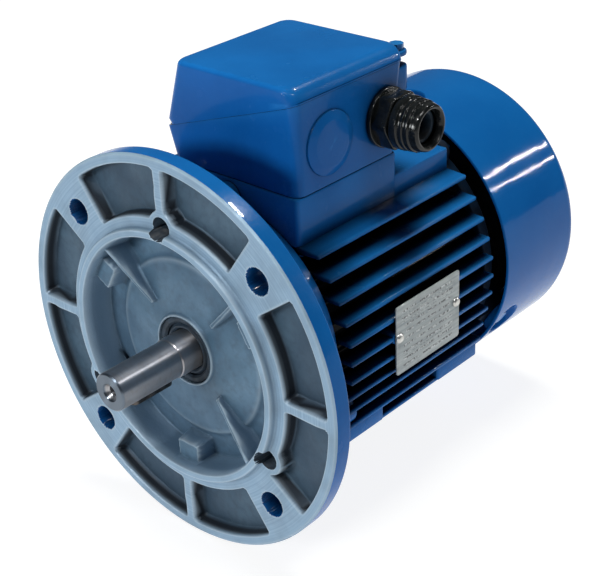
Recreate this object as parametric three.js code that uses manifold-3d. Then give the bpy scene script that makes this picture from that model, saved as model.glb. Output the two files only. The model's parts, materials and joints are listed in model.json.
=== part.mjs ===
// A flange-mounted three-phase induction motor, in millimetres.
// The shaft lies along Y and points to -Y, +Z is up, and the terminal box is on top.
// The origin is the centre of the flange's mounting face, on the shaft axis.

import * as THREE from "three";
import { mergeVertices } from "three/addons/utils/BufferGeometryUtils.js";
import Module from "manifold-3d";

const wasm = await Module();
wasm.setup();

// ---- Driving dimensions -------------------------------------------------------------------------

const FINE = 40;            // facets round the large turned parts
const ROUND = 20;           // facets round the shaft, bearings and seals
const SMALL = 8;           // facets round screws and small holes
const GAP = 0.1;            // clearance between parts that fit together

const FLANGE_R = 100;
const FLANGE_T = 11;
const SPIGOT_R = 65;
const SPIGOT_H = 3.5;
const SPIGOT_WALL = 4.8;
const BOLT_CIRCLE_R = 82.5;
const BOLT_HOLE_R = 6;
const POCKET = { inner: 69.5, outer: 95, depth: 7.4, ribHalf: 2.5, padHalfAngle: 9.3 };
const DISH_DEPTH = 13.4;

const FRAME_FRONT = 44;
const FRAME_REAR = 156;
const BODY_R = 62;
const BORE_R = 56.5;
const FIN_PITCH = 10;
const FIN_ROOT_HALF = 1.9;
const FIN_TIP_HALF = 1.1;
const SIDE_FIN_REACH = [72, 71.5, 69.2, 65.5, 60.4, 54];    // tip X of the fins at and above the axis
const LOW_FIN_REACH = [72, 71.5, 69.2, 66.5, 64.5, 61];     // the same below it, and down for the bottom fins
const FOOT_PAD = { length: 34, reach: 62 };

const PEDESTAL = { half: 42.4, top: 75, front: FRAME_FRONT, rear: 115, ledgeTop: 63, foot: 48 };
const LEAD_HOLE = { half: 17, front: 59.5, rear: 82 };
const BOX_SCREWS = [[-24, 52], [24, 108]];

const SHIELD_SCREW = { circle: 66.5, headR: 4.3, headH: 5, shankR: 2.4, boreR: 4.6, seatY: 26, endY: 55 };
const SCREW_ANGLES = [90, -30, -150];

const SHAFT_R = 9.5;
const SHAFT_TIP = -40;
const JOURNAL_R = 10;
const CORE_SEAT_R = 14;
const KEY = { width: 6, height: 6, depth: 3.5, front: -29, rear: -4 };

const BEARING = { bore: 10, outer: 23.5, width: 14, pitch: 16.75, ballR: 3.9, balls: 8 };
const FRONT_BEARING_Y = 16.2;
const REAR_BEARING_Y = 147;
const REAR_FACE_Y = 163.5;

const CORE = { front: 66, rear: 134, rotorR: 34.8, statorBore: 35.6 };

const COVER = { r: 75, wall: 1.6, front: 164.5, rear: 228, edge: 6, screwY: 176, dimpleR: 10, dimple: 4.3 };
const FAN = { r: 62, front: 188, disc: 2.5, rear: 216, hubR: 14, hubRear: 207, seatR: 8.5, blades: 8 };

const BOX = {
  half: 42.4, lowHalf: 38, front: 45, rear: 121.5, lowRear: 115, base: 75.9, wall: 3.2, corner: 5,
};
const LID = { top: 126, topLeft: -31.5, edge: 8, wall: 3, lip: 0.6 };
const PARTING = { left: 91, right: 118.7, half: 0.4 };
const LID_LUG = { y: 126, r: 5, right: 34, left: -30, screwR: 1.9, headR: 3.6 };

const PORT_Z = 95.3;
const KNOCKOUT = { y: 67, r: 14, height: 1.6 };
const GLAND = {
  y: 106.8, boreR: 7.5, threadR: 9.9, hexR: 15, hexEnd: 53.4, nutR: 12.6, tipR: 10.6, tip: 69.4, bossR: 14.2,
  bossFront: 30,
};

const PLATE = {
  front: 74.8, rear: 124.4, low: -20, high: 17, x: 72.4, thick: 0.8, rivetR: 1.6, rivetHeadR: 2.6,
};

// ---- Geometry helpers ---------------------------------------------------------------------------

const radians = THREE.MathUtils.degToRad;

// A point at a radius and an angle round the shaft axis, as [x, z].
function polar(radius, degrees) {
  return [radius * Math.cos(radians(degrees)), radius * Math.sin(radians(degrees))];
}

// Six times the volume inside a mesh: positive when its faces point out.
function signedVolume(vertices, triangles) {
  const a = new THREE.Vector3();
  const b = new THREE.Vector3();
  const c = new THREE.Vector3();
  let total = 0;
  for (let i = 0; i < triangles.length; i += 3) {
    a.fromArray(vertices, 3 * triangles[i]);
    b.fromArray(vertices, 3 * triangles[i + 1]);
    c.fromArray(vertices, 3 * triangles[i + 2]);
    total += a.dot(b.cross(c));
  }
  return total;
}

// A closed three.js geometry as a manifold solid with its faces pointing out.
function solid(geometry) {
  const bare = geometry.clone();
  bare.deleteAttribute("normal");
  bare.deleteAttribute("uv");
  const merged = mergeVertices(bare);
  const index = merged.index.array;
  const triangles = [];
  for (let i = 0; i < index.length; i += 3) {
    const [a, b, c] = [index[i], index[i + 1], index[i + 2]];
    if (a !== b && b !== c && c !== a) triangles.push(a, b, c);
  }
  const vertProperties = Float32Array.from(merged.attributes.position.array);
  if (signedVolume(vertProperties, triangles) < 0) triangles.reverse();
  const triVerts = Uint32Array.from(triangles);
  return new wasm.Manifold(new wasm.Mesh({ numProp: 3, vertProperties, triVerts }));
}

const asSolid = (body) => (body.isBufferGeometry ? solid(body) : body);

function joined(bodies) {
  return bodies.map(asSolid).reduce((whole, body) => whole.add(body));
}

function without(body, cuts) {
  return cuts.map(asSolid).reduce((whole, cut) => whole.subtract(cut), asSolid(body));
}

function common(bodies) {
  return bodies.map(asSolid).reduce((whole, body) => whole.intersect(body));
}

// A ring or disc turned about the shaft axis from [radius, y] points; it closes on itself.
function turned(profile, facets = ROUND) {
  const points = [...profile, profile[0]].map(([r, y]) => new THREE.Vector2(r, y));
  return new THREE.LatheGeometry(points, facets);
}

// The same, about an axis along X through [y, z], from [radius, x] points.
function turnedX(profile, [y, z], facets = ROUND) {
  return turned(profile, facets).rotateZ(-Math.PI / 2).scale(1, -1, 1).translate(0, y, z);
}

// A ring with a rectangular section round the shaft axis.
function ring(inner, outer, y0, y1, facets = ROUND) {
  return turned([[inner, y0], [outer, y0], [outer, y1], [inner, y1]], facets);
}

function block([x0, x1], [y0, y1], [z0, z1]) {
  const box = new THREE.BoxGeometry(x1 - x0, y1 - y0, z1 - z0);
  return box.translate((x0 + x1) / 2, (y0 + y1) / 2, (z0 + z1) / 2);
}

// Round bars along Y, X and Z, and one that runs outward from the shaft axis.
function rodY(radius, y0, y1, [x, z] = [0, 0], facets = SMALL) {
  return new THREE.CylinderGeometry(radius, radius, y1 - y0, facets).translate(x, (y0 + y1) / 2, z);
}

function rodX(radius, x0, x1, [y, z], facets = SMALL) {
  const bar = new THREE.CylinderGeometry(radius, radius, x1 - x0, facets).rotateZ(-Math.PI / 2);
  return bar.translate((x0 + x1) / 2, y, z);
}

function rodZ(radius, z0, z1, [x, y], facets = SMALL) {
  const bar = new THREE.CylinderGeometry(radius, radius, z1 - z0, facets).rotateX(Math.PI / 2);
  return bar.translate(x, y, (z0 + z1) / 2);
}

function rodOut(radius, r0, r1, y, degrees, facets = SMALL) {
  return around(rodX(radius, r0, r1, [y, 0], facets), degrees);
}

// A geometry turned about the shaft axis; positive angles go from +X to +Z.
function around(geometry, degrees) {
  return geometry.clone().rotateY(-radians(degrees));
}

function outline(points) {
  return new THREE.Shape(points.map(([u, v]) => new THREE.Vector2(u, v)));
}

function drawn(shape, depth) {
  return new THREE.ExtrudeGeometry(shape, { depth, bevelEnabled: false, curveSegments: 4 });
}

// An outline in X and Z drawn along Y, one in Y and Z drawn along X, and one in X and Y drawn up along Z.
function alongY(shape, y0, y1) {
  const swap = new THREE.Matrix4().set(1, 0, 0, 0, 0, 0, 1, y0, 0, 1, 0, 0, 0, 0, 0, 1);
  return drawn(shape, y1 - y0).applyMatrix4(swap);
}

function alongX(shape, x0, x1) {
  const swap = new THREE.Matrix4().set(0, 0, 1, x0, 1, 0, 0, 0, 0, 1, 0, 0, 0, 0, 0, 1);
  return drawn(shape, x1 - x0).applyMatrix4(swap);
}

function alongZ(shape, z0, z1) {
  return drawn(shape, z1 - z0).translate(0, 0, z0);
}

function roundedRectangle(x0, x1, y0, y1, r) {
  const shape = new THREE.Shape();
  shape.moveTo(x0 + r, y0);
  shape.absarc(x1 - r, y0 + r, r, -Math.PI / 2, 0);
  shape.absarc(x1 - r, y1 - r, r, 0, Math.PI / 2);
  shape.absarc(x0 + r, y1 - r, r, Math.PI / 2, Math.PI);
  shape.absarc(x0 + r, y0 + r, r, Math.PI, 1.5 * Math.PI);
  return shape;
}

// ---- The exported group -------------------------------------------------------------------------

const motor = new THREE.Group();

function addPart(name, body, color, roughness, metalness) {
  const mesh = asSolid(body).getMesh();
  const geometry = new THREE.BufferGeometry();
  geometry.setAttribute("position", new THREE.BufferAttribute(Float32Array.from(mesh.vertProperties), 3));
  geometry.setIndex(new THREE.BufferAttribute(Uint32Array.from(mesh.triVerts), 1));
  geometry.computeVertexNormals();
  const part = new THREE.Mesh(geometry, new THREE.MeshStandardMaterial({ color, roughness, metalness }));
  part.name = name;
  motor.add(part);
}

const painted = (name, body) => addPart(name, body, 0x1a5aa0, 0.3, 0.1);
const steel = (name, body) => addPart(name, body, 0xb4b8bc, 0.3, 1);
const aluminium = (name, body) => addPart(name, body, 0xb9c4cc, 0.45, 0.9);
const brass = (name, body) => addPart(name, body, 0xc9a24a, 0.35, 1);
const copper = (name, body) => addPart(name, body, 0xa8562a, 0.5, 0.6);
const rubber = (name, body) => addPart(name, body, 0x16181a, 0.8, 0);
const plastic = (name, body) => addPart(name, body, 0x111214, 0.35, 0);

// ---- Flange end shield --------------------------------------------------------------------------

// One pocket of the flange's front face, between a radial rib and a bolt pad.
function pocketOutline() {
  const { inner, outer, ribHalf, padHalfAngle } = POCKET;
  const padEdge = radians(45 - padHalfAngle);
  const shape = new THREE.Shape();
  shape.absarc(0, 0, inner, Math.asin(ribHalf / inner), padEdge);
  shape.absarc(0, 0, outer, padEdge, Math.asin(ribHalf / outer), true);
  return shape;
}

function flangePockets() {
  const pocket = alongY(pocketOutline(), -1, POCKET.depth);
  const mirrored = pocket.clone().scale(1, 1, -1);
  return [0, 90, 180, 270].flatMap((turn) => [around(pocket, turn), around(mirrored, turn)]);
}

function shieldProfile() {
  const spigotInner = SPIGOT_R - SPIGOT_WALL;
  const neck = 64;
  const register = BORE_R - 3 * GAP;
  const registerInner = register - 3;
  const housing = BEARING.outer;
  return [
    [17.2, 6.5], [18.3, 6.5], [18.6, 8.2], [45, 10.6], [48, 12.6], [spigotInner, DISH_DEPTH],
    [spigotInner, -SPIGOT_H], [SPIGOT_R, -SPIGOT_H], [SPIGOT_R, 0], [FLANGE_R, 0],
    [FLANGE_R, FLANGE_T - 2], [FLANGE_R - 1.8, FLANGE_T], [72, FLANGE_T], [neck, 19],
    [neck, FRAME_FRONT - GAP], [register, FRAME_FRONT - GAP], [register, 49], [registerInner, 49],
    [registerInner, 42], [57.5, 22], [49, 18.6], [29, 16], [29, 31.5], [housing, 31.5],
    [housing, 16], [14, 16], [14, 14.2], [17.2, 14.2],
  ];
}

function flangeShield() {
  const { circle, boreR, shankR, seatY } = SHIELD_SCREW;
  const dishRib = outline([[27.5, 10.5], [28.5, 6.5], [59.5, 0.7], [61, 0.7], [61, 14.5]]);
  const ribs = [45, 135, 225, 315].map((turn) => around(drawn(dishRib, 2.5).translate(0, 0, -1.25), turn));
  const bosses = [30, 150, 270].map((turn) => around(block([50, 61], [3, 14], [-7, 7]), turn));
  const lobes = SCREW_ANGLES.map((turn) => rodY(8, 0, FLANGE_T, polar(circle, turn), 14));
  const columns = SCREW_ANGLES.map((turn) => rodY(7.5, FLANGE_T - 1, FRAME_FRONT - GAP, polar(circle, turn)));
  const screwBores = SCREW_ANGLES.flatMap((turn) => [
    rodY(boreR, -5, seatY, polar(circle, turn), 12),
    rodY(shankR + 2 * GAP, seatY - 1, FRAME_FRONT + 1, polar(circle, turn)),
  ]);
  const boltHoles = [45, 135, 225, 315].map(
    (turn) => rodY(BOLT_HOLE_R, -1, FLANGE_T + 1, polar(BOLT_CIRCLE_R, turn), 16)
  );
  const disc = without(turned(shieldProfile(), FINE), flangePockets());
  return without(joined([disc, ...ribs, ...bosses, ...lobes, ...columns]), [...screwBores, ...boltHoles]);
}

aluminium("flange_shield", flangeShield());

for (const [index, turn] of SCREW_ANGLES.entries()) {
  const { circle, headR, headH, shankR, seatY, endY } = SHIELD_SCREW;
  const place = polar(circle, turn);
  const socket = rodY(2.3, seatY - headH - 1, seatY - 2.4, place, 6);
  const head = rodY(headR, seatY - headH - GAP, seatY - GAP, place);
  steel(`flange_screw_${index + 1}`, without(joined([head, rodY(shankR, seatY - 1, endY, place)]), [socket]));
}

// ---- Stator frame -------------------------------------------------------------------------------

// The start of a fin inside the frame's wall, at a distance from the axis plane.
const finRoot = (offset) => Math.sqrt(59 ** 2 - offset ** 2);

// The section of a fin that stands out sideways at a height, on one side of the frame.
function finOutline(offset, reach, side) {
  const root = finRoot(offset);
  return [
    [side * root, offset - FIN_ROOT_HALF], [side * reach, offset - FIN_TIP_HALF],
    [side * reach, offset + FIN_TIP_HALF], [side * root, offset + FIN_ROOT_HALF],
  ];
}

function sideFins() {
  const fins = [];
  for (let row = -5; row <= 5; row += 1) {
    const reach = row < 0 ? LOW_FIN_REACH[-row] : SIDE_FIN_REACH[row];
    for (const side of [-1, 1]) {
      fins.push(alongY(outline(finOutline(row * FIN_PITCH, reach, side)), FRAME_FRONT, FRAME_REAR));
    }
  }
  return fins;
}

function bottomFins() {
  const fins = [];
  for (let row = -4; row <= 4; row += 1) {
    const section = finOutline(row * FIN_PITCH, LOW_FIN_REACH[Math.abs(row)], -1).map(([z, x]) => [x, z]);
    fins.push(alongY(outline(section), FRAME_FRONT, FRAME_REAR));
  }
  return fins;
}

function footPads() {
  const { length, reach } = FOOT_PAD;
  const spans = [[FRAME_FRONT, FRAME_FRONT + length], [FRAME_REAR - length, FRAME_REAR]];
  return spans.flatMap((span) => [
    block([34, reach], span, [-5 * FIN_PITCH, -4 * FIN_PITCH]),
    block([-reach, -34], span, [-5 * FIN_PITCH, -4 * FIN_PITCH]),
  ]);
}

const REAR_SCREW = { circle: 66.5, angles: [60, 180, 300], lugR: 6, seatY: 161, endY: 147 };

function statorFrame() {
  const { half, top, front, rear, ledgeTop, foot } = PEDESTAL;
  const pedestal = block([-half, half], [front, rear], [foot - 4, top]);
  const ledge = block([-half, half], [rear - 1, FRAME_REAR], [foot - 4, ledgeTop]);
  const frontLugs = SCREW_ANGLES.map((turn) => rodY(7, FRAME_FRONT, 57, polar(SHIELD_SCREW.circle, turn)));
  const rearLugs = REAR_SCREW.angles.map(
    (turn) => rodY(REAR_SCREW.lugR, 144, FRAME_REAR, polar(REAR_SCREW.circle, turn))
  );
  const plateBosses = [PLATE.front + 2.6, PLATE.rear - 2.6].map((y) => rodX(3.4, 58, 72, [y, 0]));
  const plateHoles = [PLATE.front + 2.6, PLATE.rear - 2.6].map(
    (y) => rodX(PLATE.rivetR + GAP, 66, 74, [y, 0])
  );
  const threads = SCREW_ANGLES.map(
    (turn) => rodY(SHIELD_SCREW.shankR + 2 * GAP, 40, 56, polar(SHIELD_SCREW.circle, turn))
  );
  const rearThreads = REAR_SCREW.angles.map(
    (turn) => rodY(SHIELD_SCREW.shankR + 2 * GAP, 146, 158, polar(REAR_SCREW.circle, turn))
  );
  const leadHole = block([-LEAD_HOLE.half, LEAD_HOLE.half], [LEAD_HOLE.front, LEAD_HOLE.rear], [30, 80]);
  const boxThreads = BOX_SCREWS.map((place) => rodZ(2.2, 66, 80, place));
  const bore = turned([[0, 30], [BORE_R, 30], [BORE_R, 170], [0, 170]], FINE);
  const tube = turned([[0, FRAME_FRONT], [BODY_R, FRAME_FRONT], [BODY_R, FRAME_REAR], [0, FRAME_REAR]], FINE);
  const casting = joined([
    tube, pedestal, ledge, ...sideFins(), ...bottomFins(), ...footPads(), ...frontLugs, ...rearLugs,
    ...plateBosses,
  ]);
  return without(casting, [bore, leadHole, ...threads, ...rearThreads, ...plateHoles, ...boxThreads]);
}

painted("stator_frame", statorFrame());

// ---- Windings and cores -------------------------------------------------------------------------

steel("stator_core", ring(CORE.statorBore, BORE_R - 3 * GAP, CORE.front, CORE.rear, 32));

// The wound copper that overhangs one end of the core; outward is +1 to the rear and -1 to the front.
function windingOverhang(coreFace, outward) {
  const bundle = [[38, 0.3], [37.2, 8], [40, 13.5], [46, 14.7], [51.5, 13], [53.8, 8], [53.8, 0.3]];
  return turned(bundle.map(([r, reach]) => [r, coreFace + outward * reach]), ROUND);
}

copper("front_winding", windingOverhang(CORE.front, -1));
copper("rear_winding", windingOverhang(CORE.rear, 1));

function leadSleeve() {
  const route = [[62.8, 54.6], [62.8, 60], [66, 72], [71, 82], [76, 88]];
  const path = new THREE.CatmullRomCurve3(route.map(([y, z]) => new THREE.Vector3(0, y, z)));
  const section = new THREE.Shape().absarc(0, 0, 2.6, 0, 2 * Math.PI);
  return new THREE.ExtrudeGeometry(section, { extrudePath: path, steps: 12, curveSegments: 4 });
}

rubber("lead_sleeve", leadSleeve());

// ---- Shaft and rotor ----------------------------------------------------------------------------

function shaft() {
  const profile = [
    [0, -24], [2.5, -25.5], [2.5, -37.4], [4.6, SHAFT_TIP], [SHAFT_R - 0.8, SHAFT_TIP], [SHAFT_R,
    SHAFT_TIP + 0.8],
    [SHAFT_R, -3], [JOURNAL_R, -2.5], [JOURNAL_R, 30.6], [12, 30.6], [12, 62], [CORE_SEAT_R, 62],
    [CORE_SEAT_R, 138], [12, 138], [12, REAR_BEARING_Y - 0.4], [JOURNAL_R, REAR_BEARING_Y - 0.4],
    [JOURNAL_R, 170],
    [FAN.seatR, 171], [FAN.seatR, FAN.hubRear + 0.2], [FAN.seatR - 0.8, FAN.hubRear + 0.2],
    [FAN.seatR - 0.8, FAN.hubRear + 1.8], [FAN.seatR, FAN.hubRear + 1.8], [FAN.seatR, 212], [0, 212],
  ];
  const keyway = roundedRectangle(-KEY.width / 2 - GAP, KEY.width / 2 + GAP, KEY.front - GAP,
    KEY.rear + GAP, KEY.width / 2);
  const floor = SHAFT_R - KEY.depth;
  return without(turned(profile), [alongZ(keyway, -SHAFT_R - 3, -floor)]);
}

steel("shaft", shaft());

const keyTop = SHAFT_R - KEY.depth + KEY.height;
const keyOutline = roundedRectangle(-KEY.width / 2, KEY.width / 2, KEY.front, KEY.rear, KEY.width / 2 - 0.01);
steel("shaft_key", alongZ(keyOutline, -keyTop, KEY.height - keyTop - GAP));

steel("rotor_core", ring(CORE_SEAT_R + 2 * GAP, CORE.rotorR, CORE.front, CORE.rear, 32));

// A cast ring at one end of the rotor cage, with its short cooling vanes.
function cageRing(coreFace, outward) {
  const hoop = turned([[24, 0.1], [34.4, 0.1], [34.4, 6], [24, 6]].map(([r, reach]) => [r,
    coreFace + outward * reach]), 28);
  const span = [coreFace + outward * 5, coreFace + outward * 10].sort((a, b) => a - b);
  const vanes = [...Array(8).keys()].map((step) => around(block([26, 33], span, [-1, 1]), 45 * step));
  return joined([hoop, ...vanes]);
}

aluminium("rotor_ring_front", cageRing(CORE.front, -1));
aluminium("rotor_ring_rear", cageRing(CORE.rear, 1));

// ---- Bearings and seals -------------------------------------------------------------------------

// Points of a ball groove, from one edge to the other; direction is +1 in the outer race and -1 in the inner.
function groove(middle, direction) {
  const grooveR = BEARING.ballR + 0.6;
  return [50, 18, -18, -50].map((degrees) => [
    BEARING.pitch + direction * grooveR * Math.cos(radians(degrees)),
      middle + grooveR * Math.sin(radians(degrees)),
  ]);
}

function addBearing(name, y0) {
  const y1 = y0 + BEARING.width;
  const middle = (y0 + y1) / 2;
  const outer = BEARING.outer - GAP;
  const inner = BEARING.bore + GAP;
  const outerLip = groove(middle, 1)[0][0];
  const innerLip = groove(middle, -1)[0][0];
  steel(`${name}_outer_race`, turned([[outerLip, y0], [outer, y0], [outer, y1], [outerLip, y1],
    ...groove(middle, 1)]));
  steel(`${name}_inner_race`, turned([[innerLip, y0], [inner, y0], [inner, y1], [innerLip, y1],
    ...groove(middle, -1)]));
  const ball = new THREE.SphereGeometry(BEARING.ballR, 6, 4).translate(BEARING.pitch, middle, 0);
  const balls = [...Array(BEARING.balls).keys()].map((step) => around(ball, (360 / BEARING.balls) * step));
  steel(`${name}_ball_cage`, joined([ring(15.9, 17.6, middle - 1.1, middle + 1.1, 16), ...balls]));
}

addBearing("front_bearing", FRONT_BEARING_Y);
addBearing("rear_bearing", REAR_BEARING_Y);

// A wavy spring washer behind the rear bearing's outer race.
function waveWasher() {
  const washer = ring(18.6, 23, 161.45, 161.65, 24);
  const places = washer.attributes.position;
  for (let i = 0; i < places.count; i += 1) {
    const wave = 0.3 * Math.sin(3 * Math.atan2(places.getZ(i), places.getX(i)));
    places.setY(i, places.getY(i) + wave);
  }
  return washer;
}

steel("wave_washer", waveWasher());

rubber("front_seal", turned([[JOURNAL_R + 0.3, 8.5], [11, 7.4], [16.9, 7.4], [16.9, 14],
  [JOURNAL_R + 0.4, 14]]));
rubber("rear_seal", turned([[JOURNAL_R + GAP, 164.2], [15.5, 164], [13, 166.5], [13.5, 169],
  [JOURNAL_R + GAP, 169]]));

// ---- Rear end shield ----------------------------------------------------------------------------

function rearShield() {
  const register = BORE_R - 3 * GAP;
  const edge = 66;
  const seat = FRAME_REAR + GAP;
  const housing = BEARING.outer;
  const profile = [
    [10.8, REAR_FACE_Y], [edge, REAR_FACE_Y], [edge, seat], [register, seat], [register, 150],
    [register - 3, 150],
    [register - 3, 157], [29, 159], [29, 146.5], [housing, 146.5], [housing, 162.1], [10.8, 162.1],
  ];
  const ears = REAR_SCREW.angles.map(
    (turn) => rodY(6.5, seat, REAR_SCREW.seatY, polar(REAR_SCREW.circle, turn))
  );
  const lugs = SCREW_ANGLES.map((turn) => around(block([58, 69], [158, 183], [-7, 7]), turn));
  const screwHoles = REAR_SCREW.angles.map(
    (turn) => rodY(SHIELD_SCREW.shankR + 2 * GAP, 150, 170, polar(REAR_SCREW.circle, turn))
  );
  const headSeats = REAR_SCREW.angles.map(
    (turn) => rodY(SHIELD_SCREW.headR + 0.5, REAR_SCREW.seatY, 170, polar(REAR_SCREW.circle, turn))
  );
  const coverThreads = SCREW_ANGLES.map((turn) => rodOut(2.2, 59.5, 75, COVER.screwY, turn));
  return without(joined([turned(profile, FINE), ...ears, ...lugs]), [...screwHoles, ...headSeats,
    ...coverThreads]);
}

painted("rear_shield", rearShield());

for (const [index, turn] of REAR_SCREW.angles.entries()) {
  const place = polar(REAR_SCREW.circle, turn);
  const head = rodY(SHIELD_SCREW.headR, REAR_SCREW.seatY + GAP, REAR_SCREW.seatY + 3.6, place, 6);
  steel(`rear_screw_${index + 1}`, joined([head, rodY(SHIELD_SCREW.shankR, REAR_SCREW.endY,
    REAR_SCREW.seatY + 1, place)]));
}

// ---- Fan and fan cover --------------------------------------------------------------------------

function fan() {
  const { r, front, disc, rear, hubR, hubRear, seatR, blades } = FAN;
  const bore = seatR + GAP;
  const hub = ring(bore, hubR, front, hubRear);
  const plate = ring(hubR - 1, r, front, front + disc, 32);
  const blade = outline([[hubR - 1, front + 1], [r, front + 1], [r, rear - 6], [r - 8, rear], [26,
    rear], [hubR - 1, 202]]);
  const vanes = [...Array(blades).keys()].map(
    (step) => around(drawn(blade, 2).translate(0, 0, -1), (360 / blades) * step)
  );
  return joined([hub, plate, ...vanes]);
}

plastic("fan", fan());

const clipGap = block([0, 14], [FAN.hubRear - 1, FAN.hubRear + 3], [-2.5, 2.5]);
const clipBand = ring(FAN.seatR - 0.7, 11, FAN.hubRear + 0.4, FAN.hubRear + 1.6, 24);
steel("fan_clip", without(clipBand, [clipGap]));

// The quarter-round between the cover's wall and its rear face, at an offset inside it.
function coverEdge(inset) {
  const { r, rear, edge } = COVER;
  return [0, 30, 60, 90].map((degrees) => [
    r - edge + (edge - inset) * Math.cos(radians(degrees)),
      rear - edge + (edge - inset) * Math.sin(radians(degrees)),
  ]);
}

// Concentric air slots in the cover's rear face, cut through by four spokes.
function airSlots() {
  const { rear } = COVER;
  const slots = [14, 27, 40, 53].map((inner) => ring(inner, inner + 7, rear - 4, rear + 2, 24));
  const spokes = [0, 90].map((turn) => around(block([-80, 80], [rear - 5, rear + 3], [-3.5, 3.5]), turn));
  return without(joined(slots), spokes);
}

function fanCover() {
  const { r, wall, front, rear, screwY, dimpleR, dimple } = COVER;
  const shell = [[0, rear - wall], ...coverEdge(wall).reverse(), [r - wall, front], [r, front],
    ...coverEdge(0), [0, rear]];
  const floor = r - dimple;
  const cups = SCREW_ANGLES.map((turn) => rodOut(dimpleR + 1.5, floor - 1.5, r - 1, screwY, turn, 14));
  const hollows = SCREW_ANGLES.map((turn) => rodOut(dimpleR, floor, r + 5, screwY, turn, 14));
  const holes = SCREW_ANGLES.map((turn) => rodOut(2.2, floor - 4, r, screwY, turn));
  return without(joined([turned(shell, FINE), ...cups]), [...hollows, ...holes, airSlots()]);
}

painted("fan_cover", fanCover());

for (const [index, turn] of SCREW_ANGLES.entries()) {
  const floor = COVER.r - COVER.dimple;
  const head = rodOut(4, floor + GAP, floor + 2.6, COVER.screwY, turn);
  const shank = rodOut(2, 60, floor + 1, COVER.screwY, turn);
  steel(`cover_screw_${index + 1}`, joined([head, shank]));
}

// ---- Terminal box and lid -----------------------------------------------------------------------

// The height of the slanting joint between box and lid.
function partingZ(x) {
  return PARTING.left + ((x + BOX.half) * (PARTING.right - PARTING.left)) / (2 * BOX.half);
}

// Everything below the joint, or above it, moved by an offset.
function belowParting(offset) {
  const corners = [[-60, partingZ(-60) + offset], [60, partingZ(60) + offset], [60, 20], [-60, 20]];
  return alongY(outline(corners), 20, 150);
}

function aboveParting(offset) {
  const corners = [[-60, partingZ(-60) + offset], [60, partingZ(60) + offset], [60, 180], [-60, 180]];
  return alongY(outline(corners), 20, 150);
}

// The box's outer or inner form, inset from its walls, running on above the joint.
function boxForm(inset, base) {
  const { half, lowHalf, front, rear, lowRear, corner } = BOX;
  const plan = alongZ(roundedRectangle(inset - half, half - inset, front + inset, rear - inset,
    corner - inset / 2), base, 160);
  const endView = alongY(outline([
    [inset - lowHalf, base], [half - inset, base], [half - inset, 160], [inset - half, 160],
    [inset - half, PARTING.left],
  ]), 20, 150);
  const sideView = alongX(outline([[front + inset, base], [lowRear - inset, base], [rear - inset,
    PARTING.right], [rear - inset, 160],
    [front + inset, 160]]), -60, 60);
  return common([plan, endView, sideView]);
}

const LID_SCREWS = [[LID_LUG.right, 121], [LID_LUG.left, 107]];    // x of each screw and the top of its lug

// A screw lug that stands out behind the box and lid, round at its outer end.
function lidLug(x, z0, z1) {
  const { y, r } = LID_LUG;
  return alongZ(roundedRectangle(x - r, x + r, BOX.rear - BOX.wall - 6, y + r, r - 0.01), z0, z1);
}

function boardAndFloorHoles() {
  const opening = block([-LEAD_HOLE.half, LEAD_HOLE.half], [LEAD_HOLE.front, LEAD_HOLE.rear], [70, 82]);
  return [opening, ...BOX_SCREWS.map((place) => rodZ(2.4, 70, 82, place))];
}

function terminalBox() {
  const { half, wall, base } = BOX;
  const lugs = LID_SCREWS.map(([x]) => lidLug(x, partingZ(x) - 15, 140));
  const knockout = rodX(KNOCKOUT.r, half - 1, half + KNOCKOUT.height, [KNOCKOUT.y, PORT_Z], 28);
  const boss = rodX(GLAND.bossR, GLAND.bossFront, half - 0.5, [GLAND.y, PORT_Z], 20);
  const port = rodX(GLAND.threadR + 3 * GAP, GLAND.bossFront - 5, half + 4, [GLAND.y, PORT_Z], 20);
  const lidThreads = LID_SCREWS.map(
    ([x]) => rodZ(LID_LUG.screwR + 2 * GAP, partingZ(x) - 12, 140, [x, LID_LUG.y])
  );
  const hollow = without(joined([boxForm(0, base), ...lugs, knockout]), [boxForm(wall, base + wall)]);
  const cuts = [port, aboveParting(-PARTING.half), ...lidThreads, ...boardAndFloorHoles()];
  return without(joined([hollow, boss]), cuts);
}

painted("terminal_box", terminalBox());

function boxGasket() {
  const { lowHalf, front, lowRear, base } = BOX;
  const sheet = alongZ(roundedRectangle(-lowHalf, lowHalf, front + 1, lowRear - 1, 4),
    PEDESTAL.top + GAP, base - GAP);
  return without(sheet, boardAndFloorHoles());
}

rubber("box_gasket", boxGasket());

for (const [index, place] of BOX_SCREWS.entries()) {
  const seat = BOX.base + BOX.wall + GAP;
  steel(`box_screw_${index + 1}`, joined([rodZ(3.8, seat, seat + 3, place), rodZ(2, 67, seat + 1, place)]));
}

// The lid's section across the shaft, inset from its outer faces.
function lidOutline(inset) {
  const half = BOX.half + LID.lip - inset;
  const top = LID.top - inset;
  const edge = LID.edge - inset;
  const shape = new THREE.Shape();
  shape.moveTo(-half, 60);
  shape.lineTo(-half, PARTING.left);
  shape.lineTo(LID.topLeft + inset / 2, top);
  shape.absarc(half - edge, top - edge, edge, Math.PI / 2, 0, true);
  shape.lineTo(half, 60);
  return shape;
}

function lidForm(inset) {
  const { half, front, rear, corner } = BOX;
  const out = LID.lip - inset;
  const plan = alongZ(roundedRectangle(-half - out, half + out, front - out, rear + out,
    corner + out / 2), 60, 160);
  return common([plan, alongY(lidOutline(inset), front - out, rear + out)]);
}

function terminalLid() {
  const lugs = LID_SCREWS.map(([x, top]) => lidLug(x, 70, top));
  const screwHoles = LID_SCREWS.map(([x]) => rodZ(LID_LUG.screwR + 2 * GAP, 60, 140, [x, LID_LUG.y]));
  return without(joined([lidForm(0), ...lugs]), [lidForm(LID.wall), belowParting(PARTING.half),
    ...screwHoles]);
}

painted("terminal_lid", terminalLid());

function lidGasket() {
  const band = without(boxForm(0.8, 60), [boxForm(2.6, 50)]);
  return without(band, [belowParting(GAP - PARTING.half), aboveParting(PARTING.half - GAP)]);
}

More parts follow.
